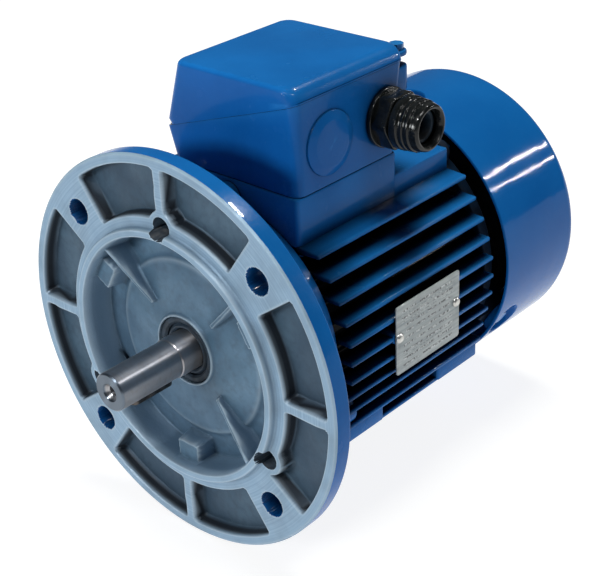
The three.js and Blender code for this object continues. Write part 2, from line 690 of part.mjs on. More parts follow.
rubber("lid_gasket", lidGasket());

for (const [index, [x, top]] of LID_SCREWS.entries()) {
  const head = rodZ(LID_LUG.headR, top + GAP, top + 3, [x, LID_LUG.y]);
  steel(`lid_screw_${index + 1}`, joined([head, rodZ(LID_LUG.screwR, partingZ(x) - 11, top + 1, [x,
    LID_LUG.y])]));
}

// ---- Terminals ----------------------------------------------------------------------------------

const BOARD = { half: 22, front: 86, rear: 105, base: 79.3, top: 85, rows: [90.5, 100.5],
  columns: [-14, 0, 14] };

const studPlaces = BOARD.columns.flatMap((x) => BOARD.rows.map((y) => [x, y]));
const studHoles = studPlaces.map((place) => rodZ(2.2, 70, 90, place));
const boardBlock = block([-BOARD.half, BOARD.half], [BOARD.front, BOARD.rear], [BOARD.base, BOARD.top]);
plastic("terminal_board", without(boardBlock, studHoles));

for (const [index, place] of studPlaces.entries()) {
  const nut = rodZ(3.6, BOARD.top + 1.4, BOARD.top + 4.4, place, 6);
  brass(`terminal_stud_${index + 1}`, joined([rodZ(2, BOARD.base + 1, BOARD.top + 10, place), nut]));
}

for (const [index, x] of BOARD.columns.entries()) {
  const strip = block([x - 4, x + 4], [BOARD.rows[0] - 4, BOARD.rows[1] + 4], [BOARD.top + GAP,
    BOARD.top + 1.2]);
  brass(`terminal_link_${index + 1}`, without(strip, studHoles));
}

const EARTH = [-27, 70];
const floorTop = BOX.base + BOX.wall;
brass("earth_screw", joined([rodZ(4, floorTop + GAP, floorTop + 3, EARTH), rodZ(2.4, floorTop + 2,
  floorTop + 5, EARTH, 6)]));

// ---- Cable gland --------------------------------------------------------------------------------

const port = [GLAND.y, PORT_Z];

function glandBody() {
  const { boreR, threadR, hexR, hexEnd, bossFront } = GLAND;
  const wallFace = BOX.half + 2 * GAP;
  const stem = rodX(threadR, bossFront + 1, 58, port, 20);
  const collar = turnedX([
    [0, wallFace], [14, wallFace], [14.6, wallFace + 1], [14.6, wallFace + 2.6], [0, wallFace + 2.6],
  ], port);
  const hex = rodX(hexR, wallFace + 2, hexEnd, port, 6);
  return without(joined([stem, collar, hex]), [rodX(boreR, bossFront, 60, port, 20)]);
}

plastic("gland_body", glandBody());
rubber("gland_seal", turnedX([[6.2, 58.3], [9.6, 58.3], [9.6, 62], [8, 64.5], [6.2, 64.5]], port, 24));

function glandNut() {
  const { boreR, threadR, hexEnd, nutR, tipR, tip } = GLAND;
  const inner = threadR + 3 * GAP;
  return turnedX([
    [inner, hexEnd + 0.4], [nutR, hexEnd + 0.4], [nutR + 0.4, 54.6], [nutR + 0.4, 58], [nutR - 0.6, 58.8],
    [nutR - 0.6, 60], [nutR + 0.2, 60.8], [nutR + 0.2, 63], [tipR + 1, 66], [tipR, tip - 0.6],
    [tipR - 0.6, tip], [boreR, tip],
    [boreR, 66.5], [inner, 63.5],
  ], port);
}

plastic("gland_nut", glandNut());

// ---- Nameplate ----------------------------------------------------------------------------------

const rivetRows = [PLATE.front + 2.6, PLATE.rear - 2.6];
const plateSheet = block([PLATE.x, PLATE.x + PLATE.thick], [PLATE.front, PLATE.rear], [PLATE.low,
  PLATE.high]);
aluminium("nameplate", without(plateSheet, rivetRows.map((y) => rodX(PLATE.rivetR + GAP, 70, 75, [y, 0]))));

for (const [index, y] of rivetRows.entries()) {
  const face = PLATE.x + PLATE.thick + GAP;
  const shank = rodX(PLATE.rivetR, 66.5, face + 0.5, [y, 0]);
  aluminium(`nameplate_rivet_${index + 1}`, joined([rodX(PLATE.rivetHeadR, face, face + 1.2, [y, 0]),
    shank]));
}

export default motor;
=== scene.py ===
import json
import math
from contextlib import contextmanager

import bmesh
import bpy
import numpy as np
from mathutils import Matrix, Quaternion, Vector
from mathutils.geometry import delaunay_2d_cdt


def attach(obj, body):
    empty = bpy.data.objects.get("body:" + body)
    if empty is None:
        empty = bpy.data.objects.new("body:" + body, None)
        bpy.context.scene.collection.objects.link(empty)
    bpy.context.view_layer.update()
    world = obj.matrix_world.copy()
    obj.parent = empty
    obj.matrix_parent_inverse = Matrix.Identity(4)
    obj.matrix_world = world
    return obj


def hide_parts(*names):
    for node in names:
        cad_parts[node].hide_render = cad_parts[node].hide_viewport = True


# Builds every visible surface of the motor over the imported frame. Lengths in this script are in
# millimetres until a mesh is made, and the scene is in metres: shaft along Y, terminal box up.
# Angles round the shaft are in degrees, from +X (the gland's side) toward +Z.

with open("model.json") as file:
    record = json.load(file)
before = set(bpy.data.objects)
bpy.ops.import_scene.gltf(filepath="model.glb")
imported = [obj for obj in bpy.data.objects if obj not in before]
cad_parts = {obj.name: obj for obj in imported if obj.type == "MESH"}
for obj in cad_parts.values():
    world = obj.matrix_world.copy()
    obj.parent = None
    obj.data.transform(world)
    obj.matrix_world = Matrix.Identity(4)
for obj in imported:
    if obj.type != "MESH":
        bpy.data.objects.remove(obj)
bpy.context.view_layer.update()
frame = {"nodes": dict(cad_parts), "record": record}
MM = 0.001


# ---- Camera and lights, placed in metres ----------------------------------------------------------

CAMERA_AT = Vector((0.420729, -0.357984, 0.328215))
CAMERA_AIM = Vector((0.032387, 0.053686, 0.023826))
CAMERA_ROLL = -2.906
CAMERA_LENS = 81.979
COVER_STREAK_AXIS = (-0.586, 0.639, -0.498)


def add_camera():
    data = bpy.data.cameras.new("camera")
    data.lens = CAMERA_LENS
    data.sensor_width = 36
    data.clip_start = 0.01
    camera = bpy.data.objects.new("camera", data)
    bpy.context.scene.collection.objects.link(camera)
    aim = (CAMERA_AIM - CAMERA_AT).to_track_quat("-Z", "Y")
    camera.rotation_mode = "QUATERNION"
    camera.rotation_quaternion = aim @ Quaternion((0, 0, 1), math.radians(CAMERA_ROLL))
    camera.location = CAMERA_AT
    bpy.context.scene.camera = camera


def area_light(name, place, target, size, power, color=(1, 1, 1), long_axis=(1, 0, 0), gives="both"):
    """A soft light of the given width and height, its width turned toward the long axis.

    It gives "diffuse" light, "glossy" highlights or both."""
    data = bpy.data.lights.new(name, "AREA")
    data.shape = "RECTANGLE"
    data.size, data.size_y = size
    data.energy = power
    data.color = color
    lamp = bpy.data.objects.new(name, data)
    bpy.context.scene.collection.objects.link(lamp)
    back = (Vector(place) - Vector(target)).normalized()
    up = back.cross(Vector(long_axis)).normalized()
    turn = Matrix((up.cross(back), up, back)).transposed()
    lamp.matrix_world = Matrix.Translation(place) @ turn.to_4x4()
    lamp.visible_camera = False
    lamp.visible_diffuse = gives != "glossy"
    lamp.visible_glossy = gives != "diffuse"


def add_world(strength):
    world = bpy.data.worlds.new("studio")
    world.use_nodes = True
    background = world.node_tree.nodes["Background"]
    background.inputs["Color"].default_value = (0.80, 0.88, 1.0, 1)
    background.inputs["Strength"].default_value = strength
    bpy.context.scene.world = world


def add_lights():
    area_light("front", (-0.42, -1.5, 0.46), (0, 0, 0), (0.5, 0.35), 14, (0.96, 1.0, 1.0))
    area_light("top", (-0.05, 0.25, 1.45), (0, 0.1, 0), (0.8, 0.5), 21.5, (1.0, 1.0, 0.84), gives="diffuse")
    area_light("cover_streak", (0.69, 1.2, 0.58), (0.058, 0.195, 0.048), (0.34, 0.014), 3.0,
               long_axis=COVER_STREAK_AXIS, gives="glossy")
    area_light("lower_streak", (0.80, 1.2, 0.42), (0.064, 0.21, 0.04), (0.22, 0.011), 1.2,
               long_axis=COVER_STREAK_AXIS, gives="glossy")
    area_light("rim_glint", (0.024, 0.82, 1.10), (0.047, 0, 0.088), (0.22, 0.03), 6.0, gives="glossy")
    area_light("shaft_streak", (0.58, -0.04, 0.92), (0, -0.02, 0), (0.30, 0.06), 4.4,
               long_axis=(0, 1, 0), gives="glossy")
    area_light("sparkle", (0.13, -0.60, 0.93), (0.03, 0.05, 0.05), (0.05, 0.05), 7, gives="glossy")


# ---- Materials ------------------------------------------------------------------------------------

class Shader:
    """A node material with short ways to add noise, ramps and bumps to its Principled shader."""

    def __init__(self, name, **values):
        self.material = bpy.data.materials.new(name)
        self.material.use_nodes = True
        self.tree = self.material.node_tree
        self.shader = self.tree.nodes["Principled BSDF"]
        self.coordinates = self.tree.nodes.new("ShaderNodeTexCoord").outputs["Object"]
        for key, value in values.items():
            socket = self.shader.inputs[key.replace("_", " ")]
            socket.default_value = (*value, 1) if isinstance(value, tuple) else value

    def link(self, output, target):
        self.tree.links.new(output, target)

    def node(self, kind, **settings):
        made = self.tree.nodes.new("ShaderNode" + kind)
        for key, value in settings.items():
            setattr(made, key, value)
        return made

    def noise(self, scale, detail=3.0, stretch=(1, 1, 1)):
        mapping = self.node("Mapping")
        mapping.inputs["Scale"].default_value = stretch
        self.link(self.coordinates, mapping.inputs["Vector"])
        texture = self.node("TexNoise")
        texture.inputs["Scale"].default_value = scale
        texture.inputs["Detail"].default_value = detail
        self.link(mapping.outputs["Vector"], texture.inputs["Vector"])
        return texture.outputs["Fac"]

    def ramp(self, value, low, high, start=0.35, end=0.65):
        """A number or colour that goes from low to high as value goes from start to end."""
        ramp = self.node("ValToRGB")
        ramp.color_ramp.elements[0].position = start
        ramp.color_ramp.elements[1].position = end
        for element, level in zip(ramp.color_ramp.elements, (low, high)):
            element.color = (*level, 1) if isinstance(level, tuple) else (level, level, level, 1)
        self.link(value, ramp.inputs["Fac"])
        return ramp.outputs["Color"]

    def math(self, operation, a, b=0.0):
        made = self.node("Math", operation=operation)
        for socket, value in zip(made.inputs, (a, b)):
            if isinstance(value, (int, float)):
                socket.default_value = value
            else:
                self.link(value, socket)
        return made.outputs["Value"]

    def mix(self, factor, a, b, blend="MIX"):
        made = self.node("MixRGB", blend_type=blend)
        for socket, value in zip(made.inputs, (factor, a, b)):
            if isinstance(value, tuple):
                socket.default_value = (*value, 1)
            elif isinstance(value, (int, float)):
                socket.default_value = value
            else:
                self.link(value, socket)
        return made.outputs["Color"]

    def radius(self):
        """Distance from the shaft axis, in metres."""
        flat = self.node("Mapping")
        flat.inputs["Scale"].default_value = (1, 0, 1)
        self.link(self.coordinates, flat.inputs["Vector"])
        length = self.node("VectorMath", operation="LENGTH")
        self.link(flat.outputs["Vector"], length.inputs[0])
        return length.outputs["Value"]

    def along(self, axis):
        parts = self.node("SeparateXYZ")
        self.link(self.coordinates, parts.inputs["Vector"])
        return parts.outputs[axis]

    def streaks(self, value, scale, detail=4.0):
        """Noise that varies with one number only, as tool marks do."""
        texture = self.node("TexNoise", noise_dimensions="1D")
        texture.inputs["Scale"].default_value = scale
        texture.inputs["Detail"].default_value = detail
        self.link(value, texture.inputs["W"])
        return texture.outputs["Fac"]

    def color(self, output):
        self.link(output, self.shader.inputs["Base Color"])

    def roughness(self, output):
        self.link(output, self.shader.inputs["Roughness"])

    def bumps(self, *layers):
        """Stacked bumps, each (height output, strength, depth in millimetres)."""
        normal = None
        for height, strength, depth in layers:
            bump = self.node("Bump")
            bump.inputs["Strength"].default_value = strength
            bump.inputs["Distance"].default_value = depth * MM
            self.link(height, bump.inputs["Height"])
            if normal:
                self.link(normal, bump.inputs["Normal"])
            normal = bump.outputs["Normal"]
        self.link(normal, self.shader.inputs["Normal"])

    def edges(self, low=0.49, high=0.56):
        """0 on flats and 1 on raised edges."""
        return self.ramp(self.node("NewGeometry").outputs["Pointiness"], 0.0, 1.0, low, high)


def shaded(s, color, depth, darkest):
    """The colour with painted shade, darkened in gaps and inner corners no wider than a depth in millimetres.
    """
    gap = s.node("AmbientOcclusion", samples=6)
    gap.inputs["Distance"].default_value = depth * MM
    return s.mix(1.0, color, s.ramp(gap.outputs["AO"], darkest, 1.0, 0.25, 0.9), "MULTIPLY")


def blue_paint(name="blue_paint", fins=False):
    """Satin paint with painted shade in gaps and inner corners; on the finned frame it also has painted shade
    deep between the fins and a painted shadow of the flange over the frame's front end.
    """
    s = Shader(name, Metallic=0.0, Specular_IOR_Level=0.05, Coat_Weight=0.09, Coat_Roughness=0.05)
    broad = s.ramp(s.noise(26, 5), (0.004, 0.098, 0.36), (0.006, 0.122, 0.43))
    dust = s.ramp(s.noise(480, 4), 0.0, 0.12, 0.5, 0.8)
    shade = s.mix(dust, broad, (0.02, 0.16, 0.47))
    wear_and_painted_shading = s.mix(s.math("MULTIPLY", s.edges(0.5, 0.6), 0.35), shade, (0.03, 0.24, 0.62))
    if fins:
        # Painted shade deep between the fins, and a painted shadow of the flange over the frame's front end.
        painted_fin_gap_shade = s.ramp(s.math("MULTIPLY", s.radius(), 10), 0.02, 1.0, 0.635, 0.715)
        front = s.ramp(s.math("MULTIPLY", s.along("Y"), 10), 0.25, 1.0, 0.44, 0.66)
        wear_and_painted_shading = s.mix(1.0, wear_and_painted_shading, s.math("MULTIPLY", painted_fin_gap_shade, front), "MULTIPLY")
    # Painted shade in gaps and inner corners within 30 mm.
    s.color(shaded(s, wear_and_painted_shading, 30, 0.04))
    s.roughness(s.ramp(s.noise(60, 5), 0.13, 0.3, 0.3, 0.7))
    s.bumps((s.noise(420, 2), 0.12, 0.5), (s.noise(1500, 3), 0.06, 0.15), (s.noise(70, 3), 0.14, 1.2))
    return s.material


def shadow_paint():
    # Near-black paint for the rear shield: painted shade, for the shadow between the frame and the fan cover.
    s = Shader("painted_shadow_dark", Metallic=0.0, Specular_IOR_Level=0.08)
    s.color(s.ramp(s.noise(120, 5), (0.002, 0.005, 0.012), (0.004, 0.012, 0.03)))
    s.roughness(s.ramp(s.noise(200, 5), 0.45, 0.7))
    s.bumps((s.noise(500, 4), 0.2, 0.3))
    return s.material


def cover_paint():
    s = Shader("blue_paint_smooth", Metallic=0.0, Specular_IOR_Level=0.14)
    broad = s.ramp(s.noise(14, 4), (0.003, 0.10, 0.38), (0.005, 0.125, 0.44))
    s.color(s.mix(s.ramp(s.noise(300, 4), 0.0, 0.1, 0.5, 0.8), broad, (0.02, 0.16, 0.47)))
    s.roughness(s.ramp(s.noise(40, 5), 0.05, 0.13, 0.3, 0.7))
    s.bumps((s.noise(110, 2), 0.10, 1.0), (s.noise(900, 2), 0.04, 0.15), (s.noise(24, 2), 0.2, 2.0))
    return s.material


def cast_aluminium():
    s = Shader("cast_aluminium", Metallic=0.25, Specular_IOR_Level=0.3)
    cloudy = s.ramp(s.noise(34, 8), (0.056, 0.115, 0.180), (0.118, 0.210, 0.305), 0.34, 0.66)
    mottled = s.mix(s.ramp(s.noise(260, 6), 0.0, 0.5, 0.45, 0.75), cloudy, (0.05, 0.08, 0.12))
    mottled = s.mix(s.ramp(s.noise(21, 6), 0.0, 0.55, 0.46, 0.6), mottled, (0.045, 0.085, 0.14))
    machined = s.ramp(s.streaks(s.radius(), 900), (0.20, 0.31, 0.43), (0.27, 0.39, 0.52), 0.3, 0.7)
    machined = s.mix(s.ramp(s.noise(55, 7), 0.0, 0.5, 0.45, 0.7), machined, (0.15, 0.22, 0.29))
    deep = s.ramp(s.math("MULTIPLY", s.along("Y"), 100), 0.0, 1.0, 0.06, 0.22)
    # Painted light and shade on the sunk cast surfaces: pocket walls are painted near-black as shade, walls
    # inside the dish are painted lighter as light, and pocket floors are darker.
    facing = s.node("SeparateXYZ")
    s.link(s.node("NewGeometry").outputs["Normal"], facing.inputs["Vector"])
    wall = s.ramp(s.math("ABSOLUTE", facing.outputs["Y"]), 1.0, 0.0, 0.25, 0.75)
    across = s.math("MULTIPLY", s.radius(), 10)
    pocket = s.ramp(across, 0.0, 0.95, 0.645, 0.655)
    dish = s.ramp(across, 1.0, 0.0, 0.61, 0.62)
    floors_with_painted_light = s.mix(s.math("MULTIPLY", pocket, 0.5), mottled, (0.015, 0.024, 0.038))
    floors_with_painted_light = s.mix(s.math("MULTIPLY", wall, dish), floors_with_painted_light, (0.15, 0.24, 0.34))
    recess_with_painted_shade = s.mix(s.math("MULTIPLY", wall, pocket), floors_with_painted_light, (0.022, 0.028, 0.038))
    face = s.mix(deep, machined, recess_with_painted_shade)
    wear_and_painted_shading = s.mix(s.math("MULTIPLY", s.edges(0.5, 0.57), 0.55), face, (0.50, 0.60, 0.68))
    # Painted shade in gaps and inner corners within 5 mm.
    s.color(shaded(s, wear_and_painted_shading, 5, 0.6))
    s.roughness(s.ramp(s.noise(90, 6), 0.4, 0.65, 0.3, 0.7))
    s.bumps((s.noise(900, 5), 0.35, 0.25), (s.noise(130, 4), 0.25, 0.7),
            (s.streaks(s.radius(), 2600), 0.1, 0.06))
    return s.material


def turned_steel():
    s = Shader("turned_steel", Metallic=1.0, Anisotropic=0.85, Anisotropic_Rotation=0.25)
    tangent = s.node("Tangent", direction_type="RADIAL", axis="Y")
    s.link(tangent.outputs["Tangent"], s.shader.inputs["Tangent"])
    stain = s.ramp(s.noise(45, 4, (1, 0.4, 1)), (0.31, 0.30, 0.31), (0.42, 0.43, 0.46), 0.35, 0.65)
    rubbed = s.mix(s.ramp(s.noise(300, 4, (1, 2, 1)), 0.0, 0.3, 0.5, 0.75), stain, (0.30, 0.23, 0.18))
    tip = s.ramp(s.math("MULTIPLY", s.along("Y"), -10), 0.0, 1.0, 0.389, 0.393)
    s.color(s.mix(tip, rubbed, (0.13, 0.16, 0.20)))
    s.roughness(s.ramp(s.noise(120, 4, (1, 3, 1)), 0.3, 0.36, 0.3, 0.7))
    s.bumps((s.streaks(s.along("Y"), 1800), 0.04, 0.04), (s.noise(300, 4), 0.02, 0.03))
    return s.material


def key_shade_steel():
    # Near-black steel for the shaft key, darkened as painted shade for its place under the shaft.
    s = Shader("key_shade_steel", Metallic=0.9)
    s.color(s.ramp(s.noise(260, 5), (0.035, 0.033, 0.032), (0.10, 0.09, 0.085)))
    s.roughness(s.ramp(s.noise(240, 4), 0.3, 0.5))
    s.bumps((s.noise(700, 4), 0.12, 0.08))
    return s.material


def plated_steel():
    s = Shader("plated_steel", Metallic=1.0)
    s.color(s.ramp(s.noise(400, 5), (0.45, 0.45, 0.43), (0.66, 0.66, 0.64)))
    s.roughness(s.ramp(s.noise(200, 4), 0.25, 0.45))
    s.bumps((s.noise(900, 4), 0.15, 0.1))
    return s.material


def black_rubber():
    s = Shader("black_rubber", Specular_IOR_Level=0.3)
    s.color(s.ramp(s.noise(220, 5), (0.007, 0.016, 0.028), (0.018, 0.036, 0.060)))
    s.roughness(s.ramp(s.noise(300, 5), 0.45, 0.75))
    s.bumps((s.noise(1400, 4), 0.2, 0.12))
    return s.material


def black_plastic():
    s = Shader("black_plastic", Specular_IOR_Level=0.3)
    s.color(s.ramp(s.noise(180, 5), (0.003, 0.004, 0.0045), (0.009, 0.010, 0.011)))
    s.roughness(s.ramp(s.noise(260, 5), 0.1, 0.26, 0.3, 0.7))
    s.bumps((s.noise(800, 4), 0.12, 0.15), (s.noise(90, 3), 0.1, 0.6))
    return s.material


def plate_metal():
    s = Shader("plate_metal", Metallic=0.35)
    brushed = s.ramp(s.noise(900, 5, (1, 0.05, 1)), (0.24, 0.28, 0.30), (0.42, 0.46, 0.47), 0.3, 0.7)
    s.color(s.mix(s.ramp(s.noise(90, 6), 0.0, 0.5, 0.45, 0.75), brushed, (0.20, 0.23, 0.25)))
    s.roughness(s.ramp(s.noise(240, 5), 0.3, 0.5))
    s.bumps((s.noise(1200, 3, (1, 0.05, 1)), 0.15, 0.08))
    return s.material


def printed_ink():
    s = Shader("printed_ink")
    s.color(s.ramp(s.noise(700, 5), (0.13, 0.14, 0.15), (0.62, 0.66, 0.68), 0.42, 0.62))
    s.roughness(s.ramp(s.noise(500, 3), 0.45, 0.65))
    return s.material


def lamination():
    s = Shader("lamination", Metallic=0.9)
    s.color(s.ramp(s.streaks(s.along("Y"), 2000), (0.10, 0.10, 0.11), (0.32, 0.32, 0.33)))
    s.roughness(s.ramp(s.noise(300, 4), 0.4, 0.6))
    s.bumps((s.streaks(s.along("Y"), 2000), 0.4, 0.2))
    return s.material


def copper_winding():
    s = Shader("copper_winding", Metallic=0.4, Coat_Weight=0.3)
    s.color(s.ramp(s.streaks(s.radius(), 1500), (0.22, 0.07, 0.03), (0.52, 0.22, 0.10)))
    s.roughness(s.ramp(s.noise(300, 4), 0.3, 0.5))
    s.bumps((s.streaks(s.radius(), 1500), 0.6, 0.5))
    return s.material


def terminal_brass():
    s = Shader("terminal_brass", Metallic=1.0)
    s.color(s.ramp(s.noise(300, 5), (0.52, 0.38, 0.14), (0.75, 0.60, 0.28)))
    s.roughness(s.ramp(s.noise(300, 4), 0.22, 0.4))
    s.bumps((s.noise(900, 4), 0.1, 0.1))
    return s.material


def studio_floor():
    s = Shader("studio_floor", Specular_IOR_Level=0.05,
               Emission_Color=(1.0, 1.0, 1.0), Emission_Strength=0.88)
    s.color(s.ramp(s.noise(3, 4), (0.25, 0.25, 0.26), (0.29, 0.29, 0.30)))
    s.roughness(s.ramp(s.noise(40, 4), 0.75, 0.9))
    return s.material


def studio_wall():
    s = Shader("studio_wall", Specular_IOR_Level=0.0,
               Emission_Color=(1.0, 1.0, 1.0), Emission_Strength=0.9)
    s.color(s.ramp(s.noise(2, 4), (0.03, 0.03, 0.03), (0.05, 0.05, 0.05)))
    s.roughness(s.ramp(s.noise(20, 4), 0.8, 0.9))
    return s.material


PAINT, SHADED_FIN_PAINT = blue_paint(), blue_paint("blue_paint_fins_painted_shade", fins=True)
SMOOTH_PAINT, PAINTED_SHADOW, CAST = cover_paint(), shadow_paint(), cast_aluminium()
TURNED, KEY_STEEL, PLATED = turned_steel(), key_shade_steel(), plated_steel()
RUBBER, PLASTIC, PLATE, INK = black_rubber(), black_plastic(), plate_metal(), printed_ink()
CAD_LOOKS = {
    "machine_steel": PLATED,
    "lamination_steel": lamination(),
    "cast_aluminium": CAST,
    "blue_paint": PAINT,
    "plate_metal": PLATE,
    "winding": copper_winding(),
    "terminal_brass": terminal_brass(),
    "seal_rubber": RUBBER,
    "black_plastic": PLASTIC,
}


# ---- Mesh helpers ---------------------------------------------------------------------------------

def mesh_object(name, points, faces, *looks):
    """A smooth-shaded object from points in millimetres."""
    mesh = bpy.data.meshes.new(name)
    mesh.from_pydata([[c * MM for c in p] for p in np.asarray(points, float).tolist()], [], faces)
    mesh.validate()
    mesh.update()
    item = bpy.data.objects.new(name, mesh)
    bpy.context.scene.collection.objects.link(item)
    for look in looks:
        mesh.materials.append(look)
    mesh.shade_smooth()
    return item


def ring_faces(rows, count, closed=False, first=0):
    """Quads between neighbouring rows of points, each row a ring of the same count."""
    faces = []
    for row in range(rows if closed else rows - 1):
        a, b = first + row * count, first + (row + 1) % rows * count
        faces += [(a + k, a + (k + 1) % count, b + (k + 1) % count, b + k) for k in range(count)]
    return faces


def turned_over(faces):
    """The same faces, seen from the other side."""
    return [(face[0], *face[:0:-1]) for face in faces]


@contextmanager
def editing(item):
    """Opens an object's mesh for bmesh operators and puts the result back."""
    made = bmesh.new()
    made.from_mesh(item.data)
    yield made
    made.to_mesh(item.data)
    made.free()


def face_out(item):
    """Turns every closed shell of an object to face outward."""
    with editing(item) as made:
        bmesh.ops.recalc_face_normals(made, faces=made.faces)
    return item


def merged(name, items):
    """Joins objects into the first one and names it."""
    bpy.ops.object.select_all(action="DESELECT")
    for item in items:
        item.select_set(True)
    bpy.context.view_layer.objects.active = items[0]
    bpy.ops.object.join()
    items[0].name = name
    items[0].data.name = name
    return items[0]


def apply_modifiers(item):
    depsgraph = bpy.context.evaluated_depsgraph_get()
    mesh = bpy.data.meshes.new_from_object(item.evaluated_get(depsgraph))
    item.modifiers.clear()
    item.data = mesh
    return item


def smoothed(item, sharp=35):
    """Shades an object smooth, with edges sharper than an angle kept."""
    item.data.shade_smooth()
    item.data.set_sharp_from_angle(angle=math.radians(sharp))
    return item


def cut(item, cutter):
    """Takes one solid out of another and deletes the cutter."""
    boolean = item.modifiers.new("cut", "BOOLEAN")
    boolean.operation = "DIFFERENCE"
    boolean.solver = "EXACT"
    boolean.object = cutter
    apply_modifiers(item)
    bpy.data.objects.remove(cutter)
    return smoothed(item)


def rounded(points, radii, steps=4, closed=True):
    """Replaces the corners of an outline by arcs; radii is one number or one per corner."""
    points = [np.array(p, float) for p in points]
    if isinstance(radii, (int, float)):
        radii = [radii] * len(points)
    made = []
    for i, corner in enumerate(points):
        last, after = points[i - 1], points[(i + 1) % len(points)]
        radius = radii[i]
        if not radius or (not closed and i in (0, len(points) - 1)):
            made.append(corner)
            continue
        a, b = last - corner, after - corner
        la, lb = np.linalg.norm(a), np.linalg.norm(b)
        a, b = a / la, b / lb
        half = math.acos(max(-1, min(1, float(a @ b)))) / 2
        if half > math.pi / 2 - 0.02:
            made.append(corner)
            continue
        back = min(radius / math.tan(half), 0.49 * la, 0.49 * lb)
        size = back * math.tan(half)
        centre = corner + (a + b) / np.linalg.norm(a + b) * size / math.sin(half)
        start, end = corner + a * back - centre, corner + b * back - centre
        turn = math.atan2(start[0] * end[1] - start[1] * end[0], float(start @ end))
        for k in range(steps + 1):
            angle = turn * k / steps
            c, s = math.cos(angle), math.sin(angle)
            made.append(centre + np.array([c * start[0] - s * start[1], s * start[0] + c * start[1]]))
    return [tuple(p) for p in made]


def lathe(name, profile, look, segments=160, closed=True, frame_of=None, sharp=35):
    """Turns [radius, height] points about the shaft axis, or about the axis frame_of maps it to."""
    profile = np.array(profile, float)
    angles = np.linspace(0, 2 * math.pi, segments, endpoint=False)
    points = np.empty((len(profile), segments, 3))
    points[..., 0] = profile[:, :1] * np.cos(angles)
    points[..., 1] = profile[:, 1:]
    points[..., 2] = profile[:, :1] * np.sin(angles)
    points = points.reshape(-1, 3)
    if frame_of is not None:
        points = frame_of(points)
    item = mesh_object(name, points, ring_faces(len(profile), segments, closed), look)
    with editing(item) as made:
        bmesh.ops.remove_doubles(made, verts=made.verts, dist=1e-6)
        bmesh.ops.dissolve_degenerate(made, edges=made.edges, dist=1e-7)
        bmesh.ops.recalc_face_normals(made, faces=made.faces)
    return smoothed(item, sharp)


def axis_x(y, z):
    """Maps the shaft axis to an axis along X through (y, z), height becoming x."""
    return lambda p: np.stack([p[:, 1], y - p[:, 0], z + p[:, 2]], axis=1)


def axis_y(x, z):
    """Moves the shaft axis to run through (x, z)."""
    return lambda p: p + np.array([x, 0, z])


def turn_about_shaft(item, degrees):
    item.data.transform(Matrix.Rotation(-math.radians(degrees), 4, "Y"))
    return item


def at_angle(radius, degrees):
    return radius * math.cos(math.radians(degrees)), radius * math.sin(math.radians(degrees))


PLANES = {
    "XZ": lambda u, v, d: (u, d, v),
    "YZ": lambda u, v, d: (d, u, v),
    "XY": lambda u, v, d: (u, v, d),
}


def covered(rings, spot):
    """Whether a spot is inside the outer ring and outside the holes."""
    crossings = 0
    for ring in rings:
        ahead = np.roll(ring, -1, axis=0)
        spans = (ring[:, 1] > spot[1]) != (ahead[:, 1] > spot[1])
        a, b = ring[spans], ahead[spans]
        at = a[:, 0] + (spot[1] - a[:, 1]) * (b[:, 0] - a[:, 0]) / (b[:, 1] - a[:, 1])
        crossings += np.count_nonzero(at > spot[0])
    return crossings % 2 == 1


def unit(vectors):
    return vectors / np.maximum(np.linalg.norm(vectors, axis=1, keepdims=True), 1e-9)


def prism(name, loops, plane, low, high, look, edge=0.5, steps=2, sharp=35):
    """An outline with holes, drawn between two depths, with rounded rims. The first loop is the outer one."""
    place = PLANES[plane]
    turns = [math.pi / 2 * k / steps for k in range(steps + 1)]
    rims = [(edge * (1 - math.sin(t)), low + edge * (1 - math.cos(t))) for t in turns]
    rims += [(edge * (1 - math.cos(t)), high - edge * (1 - math.sin(t))) for t in turns]
    points, faces = [], []
    flat, flat_edges, rings = [], [], []
    for number, loop in enumerate(loops):
        loop = np.array(loop, float)
        area = 0.5 * np.sum(loop[:, 0] * np.roll(loop[:, 1], -1) - loop[:, 1] * np.roll(loop[:, 0], -1))
        if (area > 0) != (number == 0):
            loop = loop[::-1]
        along = unit(np.roll(loop, -1, axis=0) - loop) + unit(loop - np.roll(loop, 1, axis=0))
        inward = unit(np.stack([-along[:, 1], along[:, 0]], axis=1))
        first, count = len(points), len(loop)
        for inset, depth in rims:
            points += [place(*(p + inset * n), depth) for p, n in zip(loop, inward)]
        faces += ring_faces(len(rims), count, first=first)
        ring = loop + edge * inward
        start, last = len(flat), first + (len(rims) - 1) * count
        flat += [(p, first + k, last + k) for k, p in enumerate(ring)]
        flat_edges += [(start + k, start + (k + 1) % count) for k in range(count)]
        rings.append(ring)
    caps = delaunay_2d_cdt([Vector(p) for p, low_id, high_id in flat], flat_edges, [], 1, 1e-6)
    # caps[2] holds the triangles, and caps[3] the outline points behind each of their corners.
    for triangle in caps[2]:
        corners = [flat[caps[3][v][0]] for v in triangle]
        if covered(rings, sum(p for p, low_id, high_id in corners) / 3):
            faces.append(tuple(low_id for p, low_id, high_id in corners))
            faces.append(tuple(high_id for p, low_id, high_id in reversed(corners)))
    return smoothed(face_out(mesh_object(name, points, faces, look)), sharp)


def circle(u, v, radius, count=48):
    return [(u + radius * math.cos(2 * math.pi * k / count), v + radius * math.sin(2 * math.pi * k / count))
            for k in range(count)]


def box_outline(u0, u1, v0, v1, radius, steps=5):
    return rounded([(u0, v0), (u1, v0), (u1, v1), (u0, v1)], radius, steps)


def soft_min(a, b, k):
    h = np.clip(0.5 + 0.5 * (b - a) / k, 0, 1)
    return b * (1 - h) + a * h - k * h * (1 - h)


def soft_max(a, b, k):
    return -soft_min(-a, -b, k)


def finish_piece(item, body, slot, *nodes):
    """Rides a piece on its body and hides the CAD nodes that it stands for; the slot is not used."""
    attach(item, body)
    if nodes:
        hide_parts(*nodes)
    return item


# ---- Flange end shield ----------------------------------------------------------------------------

